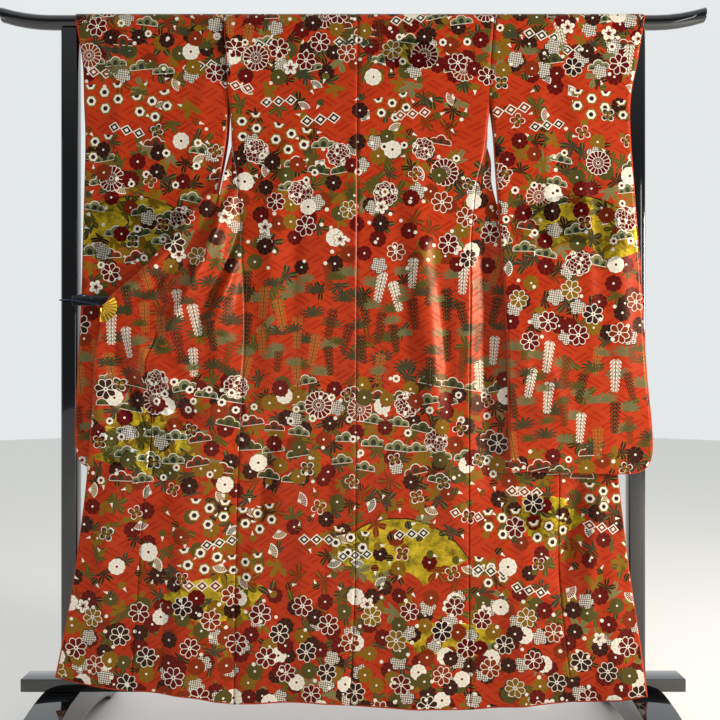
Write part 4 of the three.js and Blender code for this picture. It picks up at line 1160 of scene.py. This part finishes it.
@dataclass
class SilkPanel:
    """One width of silk: a thin closed shell on its solid's form, printed outside and lined inside."""

    node: str
    cut: tuple[float, float]
    rests_on: tuple[str, ...]
    creases: tuple[Crease, ...] = ()
    turned: float = 0.0  # side edge that the upper front turns round, or 0
    drop: float = 0.0  # by how much its bands lie lower than the body's
    printed_behind: bool = False
    tube: bool = False  # the layer behind the rail follows the creases of the one before it
    levels: int = 2
    reach: float = 0.2 * MM  # how far a sewn edge reaches into the seam, so that it closes

    def mark_rims(self, piece: bpy.types.Object, others: KDTree) -> None:
        """Creases the rim of the coarse wall, sorts its faces into outer, inner and rim, and marks free edges.

        Args:
            piece: the merged copy of the solid.
            others: the points of all the other widths of silk.
        """
        mesh = bmesh.new()
        mesh.from_mesh(piece.data)
        crease = mesh.edges.layers.float.new("crease_edge")
        rim_edges = {e for e in mesh.edges if len(e.link_faces) == 2 and e.calc_face_angle() > RIM_BEND}
        for edge in rim_edges:
            edge[crease] = 1.0
        sides: list[set] = []
        seen: set = set()
        for face in mesh.faces:
            if face in seen:
                continue
            group, queue = {face}, [face]
            while queue:
                for edge in queue.pop().edges:
                    if edge in rim_edges:
                        continue
                    for near in edge.link_faces:
                        if near not in group:
                            group.add(near)
                            queue.append(near)
            seen |= group
            sides.append(group)
        sides.sort(key=len, reverse=True)
        reach = [max(self.towards(f.calc_center_median()) for f in side) for side in sides[:2]]
        inner = sides[1] if reach[0] > reach[1] else sides[0]
        outer = sides[0] if inner is sides[1] else sides[1]
        for face in mesh.faces:
            face.material_index = OUTER if face in outer else INNER if face in inner else RIM
            face.smooth = True
        free = mesh.verts.layers.float.new("free")
        rear = mesh.verts.layers.float.new("rear")
        rim_faces = {f for side in sides[2:] for f in side}
        rim_faces |= {f for f in sides[1] if len(sides[1]) < len(sides[0]) / 2}
        for vertex in {v for e in rim_edges for v in e.verts}:
            sewn = others.find(vertex.co)[2] < SEWN_WITHIN
            vertex[free] = 0.5 if sewn else 1.0
            out = sum((f.normal for f in vertex.link_faces if f in rim_faces), Vector())
            if sewn and out.length > 0:
                vertex.co += out.normalized() * self.reach
        self.mark_rear(mesh, rear)
        mesh.to_mesh(piece.data)
        mesh.free()

    def towards(self, point: Vector) -> float:
        """How far a point lies on the printed side."""
        return point.y if self.printed_behind else -point.y

    def mark_rear(self, mesh: bmesh.types.BMesh, rear: bmesh.types.BMLayerItem) -> None:
        """Marks with 1 what hangs behind the rail, with 0 what hangs before it and with a half what lies on it.

        Args:
            mesh: the coarse wall.
            rear: the layer that takes the marks.
        """
        hanging = {v for v in mesh.verts if v.co.z < RAIL_AXIS + 1 * MM}
        left = set(hanging)
        while left:
            group, queue = set(), [left.pop()]
            while queue:
                vertex = queue.pop()
                group.add(vertex)
                for edge in vertex.link_edges:
                    near = edge.other_vert(vertex)
                    if near in left:
                        left.discard(near)
                        queue.append(near)
            top = max(group, key=lambda v: v.co.z)
            for vertex in group:
                vertex[rear] = 1.0 if top.co.y > 0 else 0.0
        for vertex in mesh.verts:
            if vertex not in hanging:
                vertex[rear] = 0.5

    def build(self, others: KDTree, finishes: list[bpy.types.Material]) -> bpy.types.Object:
        """Makes the shell.

        Args:
            others: the points of the other widths, to tell seams from free edges.
            finishes: the printed silk and the lining.

        Returns:
            The new piece.
        """
        piece = copied_node(self.node, "silk_" + self.node)
        bpy.ops.object.mode_set(mode="EDIT")
        bpy.ops.mesh.select_all(action="SELECT")
        limits = {"face_threshold": math.radians(40), "shape_threshold": math.radians(80)}
        bpy.ops.mesh.tris_convert_to_quads(**limits)
        bpy.ops.object.mode_set(mode="OBJECT")
        self.mark_rims(piece, others)
        rounded = piece.modifiers.new("rounded", "SUBSURF")
        rounded.levels = rounded.render_levels = self.levels
        rounded.use_limit_surface = False
        apply_modifiers(piece)
        for finish in finishes:
            piece.data.materials.append(finish)
        self.shape(piece.data)
        finish_piece(piece, "figured_silk", self.node)
        return piece

    def shape(self, mesh: bpy.types.Mesh) -> None:
        """Presses the creases into the shell and gives it the cloth's own coordinates.

        Args:
            mesh: the finely divided shell.
        """
        count = len(mesh.vertices)
        co = np.empty(count * 3)
        mesh.vertices.foreach_get("co", co)
        co = co.reshape(-1, 3)
        marks = {}
        for name in ("rear", "free"):
            marks[name] = np.zeros(count, np.float32)
            mesh.attributes[name].data.foreach_get("value", marks[name])
        x, z = co[:, 0].copy(), co[:, 2].copy()
        rear = (marks["rear"] > 0.75) & (not self.turned)
        lift = sum((c.lift(x, z) for c in self.creases), np.zeros(count))
        lift = lift + crumple(x, z)
        lift *= smooth((CREASES_END - z) / 0.12) * smooth((z - CREASES_START) / 0.08)
        if self.turned:
            lift *= smooth((TURN_STARTS - z) / 0.08)
        if not self.tube:
            lift[rear] = 0
        sides = np.empty(len(mesh.polygons), np.int32)
        mesh.polygons.foreach_get("material_index", sides)
        on_rim = np.zeros(count, bool)
        for k in np.flatnonzero(sides == RIM):
            on_rim[list(mesh.polygons[int(k)].vertices)] = True
        seam, free = on_rim & (marks["free"] < 0.75), on_rim & (marks["free"] >= 0.75)
        co[:, 1] -= lift
        if not self.tube and not self.printed_behind:
            for slit in SLITS:
                co[:, 0] += slit.drawn(x, z)
        self.write_cloth_places(mesh, co, x, z, marks["rear"])
        plain = np.where(z < HEM_ROLL_TOP, 3.0 * MM, 1.6 * MM)  # width of the unprinted edge
        rim = near_distance(co, free) / plain
        from_seam = near_distance(co, seam)
        for name, values in (("rim", rim), ("seam", from_seam)):
            mesh.attributes.new(name, "FLOAT", "POINT").data.foreach_set("value", values.astype(np.float32))
        dip = np.exp(-((from_seam / (5 * MM)) ** 2)) * SEAM_DIP
        dip[rear | (z > ON_RAIL)] = 0
        co[:, 1] += dip
        mesh.vertices.foreach_set("co", co.astype(np.float32).ravel())
        mesh.polygons.foreach_set("material_index", np.where(sides == RIM, OUTER, sides))
        mesh.update()

    def write_cloth_places(self, mesh: bpy.types.Mesh, co: np.ndarray, x: np.ndarray, z: np.ndarray,
                           rear: np.ndarray) -> None:
        """Writes the map of across and along the cloth, and the height by which the design is zoned.

        Args:
            mesh: the shell.
            co: where its points lie now.
            x: where they lay across the back, before the creases.
            z: how high they lay.
            rear: 1 for those that hang behind the rail.
        """
        along = z.copy()
        over = z > RAIL_AXIS
        angle = np.arctan2(z - RAIL_AXIS, -co[:, 1])
        along[over] = RAIL_AXIS + OVER_RAIL * angle[over]
        behind = (~over) & (rear > 0.75)
        along[behind] = 2 * FOLD_TOP - z[behind]
        across = x.copy()
        if self.turned:
            beyond = smooth((z - TURN_STARTS + 0.02) / 0.08)
            away = np.hypot(x - self.turned, co[:, 1] + 0.02)
            across = x * (1 - beyond) + (self.turned + math.copysign(1, self.turned) * away) * beyond
            along = z.copy()
        if self.printed_behind:
            along = z.copy()
        level = FOLD_TOP - np.abs(FOLD_TOP - along)
        band = level + self.drop * smooth((DROP_STARTS - level) / 0.15)
        mesh.attributes.new("band", "FLOAT", "POINT").data.foreach_set("value", band.astype(np.float32))
        while mesh.uv_layers:
            mesh.uv_layers.remove(mesh.uv_layers[0])
        layer = mesh.uv_layers.new(name="cloth")
        corners = np.empty(len(mesh.loops), np.int32)
        mesh.loops.foreach_get("vertex_index", corners)
        layer.data.foreach_set("uv", np.stack([across, along], 1)[corners].astype(np.float32).ravel())


def near_distance(co: np.ndarray, chosen: np.ndarray) -> np.ndarray:
    """Measures how far each point lies from the nearest chosen one.

    Args:
        co: the points.
        chosen: true for the chosen ones.

    Returns:
        The distances, or 1 m where none is chosen.
    """
    picked = np.flatnonzero(chosen)
    if not len(picked):
        return np.ones(len(co))
    tree = KDTree(len(picked))
    for k in picked:
        tree.insert(co[k], int(k))
    tree.balance()
    return np.array([tree.find(p)[2] for p in co])


def crumple(x: np.ndarray, z: np.ndarray) -> np.ndarray:
    """A slight unevenness of hanging silk, mostly in long upright waves.

    Args:
        x: places across the back, in metres.
        z: heights, in metres.

    Returns:
        How far the cloth comes forward at each place, in metres.
    """
    lift = np.zeros_like(x)
    for k in range(9):
        across = 2 * math.pi / (0.075 + 0.021 * k)
        along = 2 * math.pi / (0.9 - 0.07 * k) * (-1) ** k
        bend = 0.05 * np.sin(z * (4.1 + k) + k * 1.7)
        lift += np.sin(across * (x + bend) + along * z + k * 2.4) * (0.28 + 0.06 * k)
    return lift * 0.42 * MM


@dataclass
class Kimono:
    """All the widths of silk, in the order in which they are sewn."""

    finishes: list[bpy.types.Material]
    sleeve_finishes: list[bpy.types.Material]
    left_turn: float = -0.285
    right_turn: float = 0.309
    sleeve_drop: float = 0.17
    pieces: list[bpy.types.Object] = field(default_factory=list)

    def panels(self) -> list[SilkPanel]:
        """Lists the widths with their cut sizes and finer creases.

        Returns:
            The widths, in the order in which they are sewn.
        """
        rail = ("top_rail",)
        hung = {"drop": self.sleeve_drop, "tube": True}
        return [
            SilkPanel("back_left", (0.305, 1.72), rail, BODY_CREASES),
            SilkPanel("back_right", (0.305, 1.74), rail, BODY_CREASES),
            SilkPanel("front_left", (0.235, 1.60), ("silk_back_left",), BODY_CREASES, self.left_turn),
            SilkPanel("front_right", (0.235, 1.60), ("silk_back_right",), BODY_CREASES, self.right_turn),
            SilkPanel("overlap_left", (0.160, 1.18), ("silk_front_left",), BODY_CREASES),
            SilkPanel("overlap_right", (0.160, 1.16), ("silk_front_right",), BODY_CREASES),
            SilkPanel("collar", (0.055, 0.95), ("silk_front_left",), printed_behind=True),
            SilkPanel("sleeve_left", (0.335, 2.15), rail, LEFT_SLEEVE_CREASES, **hung),
            SilkPanel("sleeve_right", (0.345, 2.17), rail, RIGHT_SLEEVE_CREASES, **hung),
        ]

    def build(self) -> None:
        """Makes every width in turn."""
        panels = self.panels()
        for panel in panels:
            points = [v.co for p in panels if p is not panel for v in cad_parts[p.node].data.vertices]
            others = KDTree(len(points))
            for k, point in enumerate(points):
                others.insert(point, k)
            others.balance()
            self.pieces.append(panel.build(others, self.sleeve_finishes if panel.tube else self.finishes))


@dataclass
class Stand:
    """The lacquered stand: the frame's own solids with their edges eased."""

    finish: bpy.types.Material
    ease: float = 1.6 * MM

    def build(self) -> None:
        """Makes a softened copy of each member."""
        for node in ("top_rail", "post_left", "post_right", "plank", "foot_left", "foot_right"):
            piece = copied_node(node, "lacquer_" + node)
            edges = piece.modifiers.new("eased", "BEVEL")
            edges.width = self.ease
            edges.segments = 3
            edges.limit_method = "ANGLE"
            edges.angle_limit = math.radians(40)
            apply_modifiers(piece)
            select_only(piece)
            bpy.ops.object.shade_smooth_by_angle(angle=math.radians(32))
            piece.data.materials.append(self.finish)
            finish_piece(piece, "black_lacquered_wood", node)


@dataclass
class Clip:
    """The clip on the left post: its black jaw, the gilt fan and the cord."""

    black: bpy.types.Material
    gilt: bpy.types.Material
    navy: bpy.types.Material

    def build(self) -> None:
        """Dresses the three pieces."""
        rows = (("clip_jaw", self.black, "black_clip", 1.2), ("clip_fan", self.gilt, "gold_fan", 0.2),
                ("tie_cord", self.navy, "navy_cord", 0.0))
        for node, finish, slot, ease in rows:
            piece = copied_node(node, "clip_" + node.removeprefix("clip_"))
            if ease:
                edges = piece.modifiers.new("eased", "BEVEL")
                edges.width = ease * MM
                edges.segments = 2
                edges.limit_method = "ANGLE"
                edges.angle_limit = math.radians(50)
                apply_modifiers(piece)
            select_only(piece)
            bpy.ops.object.shade_smooth_by_angle(angle=math.radians(30 if node == "clip_fan" else 50))
            piece.data.materials.append(finish)
            finish_piece(piece, slot, node)


@dataclass(frozen=True)
class Softbox:
    """One soft light: its name, place, width and height in metres, and power in watts."""

    name: str
    place: tuple[float, float, float]
    size: tuple[float, float]
    power: float
    colour: str = "#ffffff"
    aim_height: float = 0.95

    def build(self) -> None:
        """Adds it, turned to the middle of the kimono."""
        data = bpy.data.lights.new(self.name, "AREA")
        data.color = linear(self.colour)[:3]
        data.shape = "RECTANGLE"
        data.size, data.size_y = self.size
        data.energy = self.power
        lamp = bpy.data.objects.new(self.name, data)
        lamp.location = self.place
        aim = Vector((0, 0, self.aim_height)) - Vector(self.place)
        lamp.rotation_euler = aim.to_track_quat("-Z", "Y").to_euler()
        bpy.context.scene.collection.objects.link(lamp)


@dataclass
class Studio:
    """Floor, lights and camera."""

    distance: float = 1.777  # from the camera to the plane of the rail's axis
    eye: float = 0.86
    aside: float = 0.016
    lens: float = 37.35
    rise: float = 13 / 720  # the picture's centre lies this share of its side above the horizon
    behind: float = 1.0  # brightness of the surroundings beyond the kimono
    before: float = 0.14  # and on the camera's side of it
    above: float = 0.72  # what the surroundings straight above add

    def build(self) -> None:
        """Sets up the plain pale studio."""
        self.camera()
        self.floor()
        self.surroundings()
        Softbox("key", (2.9, -1.25, 1.5), (0.45, 0.9), power=106, colour="#fff3e4").build()
        Softbox("fill", (-0.3, -2.8, 0.7), (1.2, 1.2), power=8, colour="#e9f1ff").build()
        Softbox("strip_left", (-2.6, -0.8, 1.2), (0.25, 2.2), power=7).build()
        Softbox("strip_right", (2.2, -2.6, 1.3), (0.12, 2.2), power=4).build()
        bpy.context.scene.view_settings.view_transform = "Standard"

    def surroundings(self) -> None:
        """Pale surroundings, bright beyond the kimono and dim on the camera's side."""
        world = bpy.data.worlds.new("studio")
        bpy.context.scene.world = world
        world.use_nodes = True
        tree = world.node_tree
        way = add_node(tree, "ShaderNodeTexCoord").outputs["Generated"]
        parts = add_node(tree, "ShaderNodeSeparateXYZ", {0: way})
        depth = {"Value": parts.outputs[1], "From Min": -0.1, "From Max": 0.55}
        height = {"Value": parts.outputs[2], "From Min": 0.35, "From Max": 0.95}
        spans = ((depth, self.before, self.behind), (height, 0.0, self.above))
        level, top = (
            add_node(tree, "ShaderNodeMapRange", {**span, "To Min": low, "To Max": high},
                     interpolation_type="SMOOTHSTEP").outputs[0]
            for span, low, high in spans
        )
        strength = (Signal(tree, level) + Signal(tree, top)).socket
        shade = tree.nodes["Background"]
        shade.inputs["Color"].default_value = linear("#e4e8e9")
        tree.links.new(strength, shade.inputs["Strength"])

    def camera(self) -> None:
        """A level camera a little above half height."""
        data = bpy.data.cameras.new("camera")
        data.lens = self.lens
        data.shift_y = self.rise
        camera = bpy.data.objects.new("camera", data)
        camera.location = (self.aside, -self.distance, self.eye)
        camera.rotation_euler = (math.pi / 2, 0, 0)
        bpy.context.scene.collection.objects.link(camera)
        bpy.context.scene.camera = camera

    def floor(self) -> None:
        """A wide plain floor."""
        bpy.ops.object.select_all(action="DESELECT")
        bpy.ops.mesh.primitive_circle_add(vertices=96, radius=9, fill_type="NGON")
        floor = bpy.context.active_object
        floor.name = "floor"
        material, shader = new_material("plain_pale_floor")
        shader.inputs["Base Color"].default_value = linear("#f0eeea")
        shader.inputs["Roughness"].default_value = 0.6
        floor.data.materials.append(material)


def main() -> None:
    """Builds the studio and every piece."""
    Studio().build()
    lacquer = Lacquer().build()
    Stand(lacquer).build()
    Clip(lacquer, GiltBrass().build(), TwistedCord().build()).build()
    printed = FiguredSilk().build()
    facing = LiningSilk("plain_sleeve_lining_silk", 2.0).build()
    Kimono([printed, LiningSilk().build()], [printed, facing]).build()


if __name__ == "__main__":
    main()
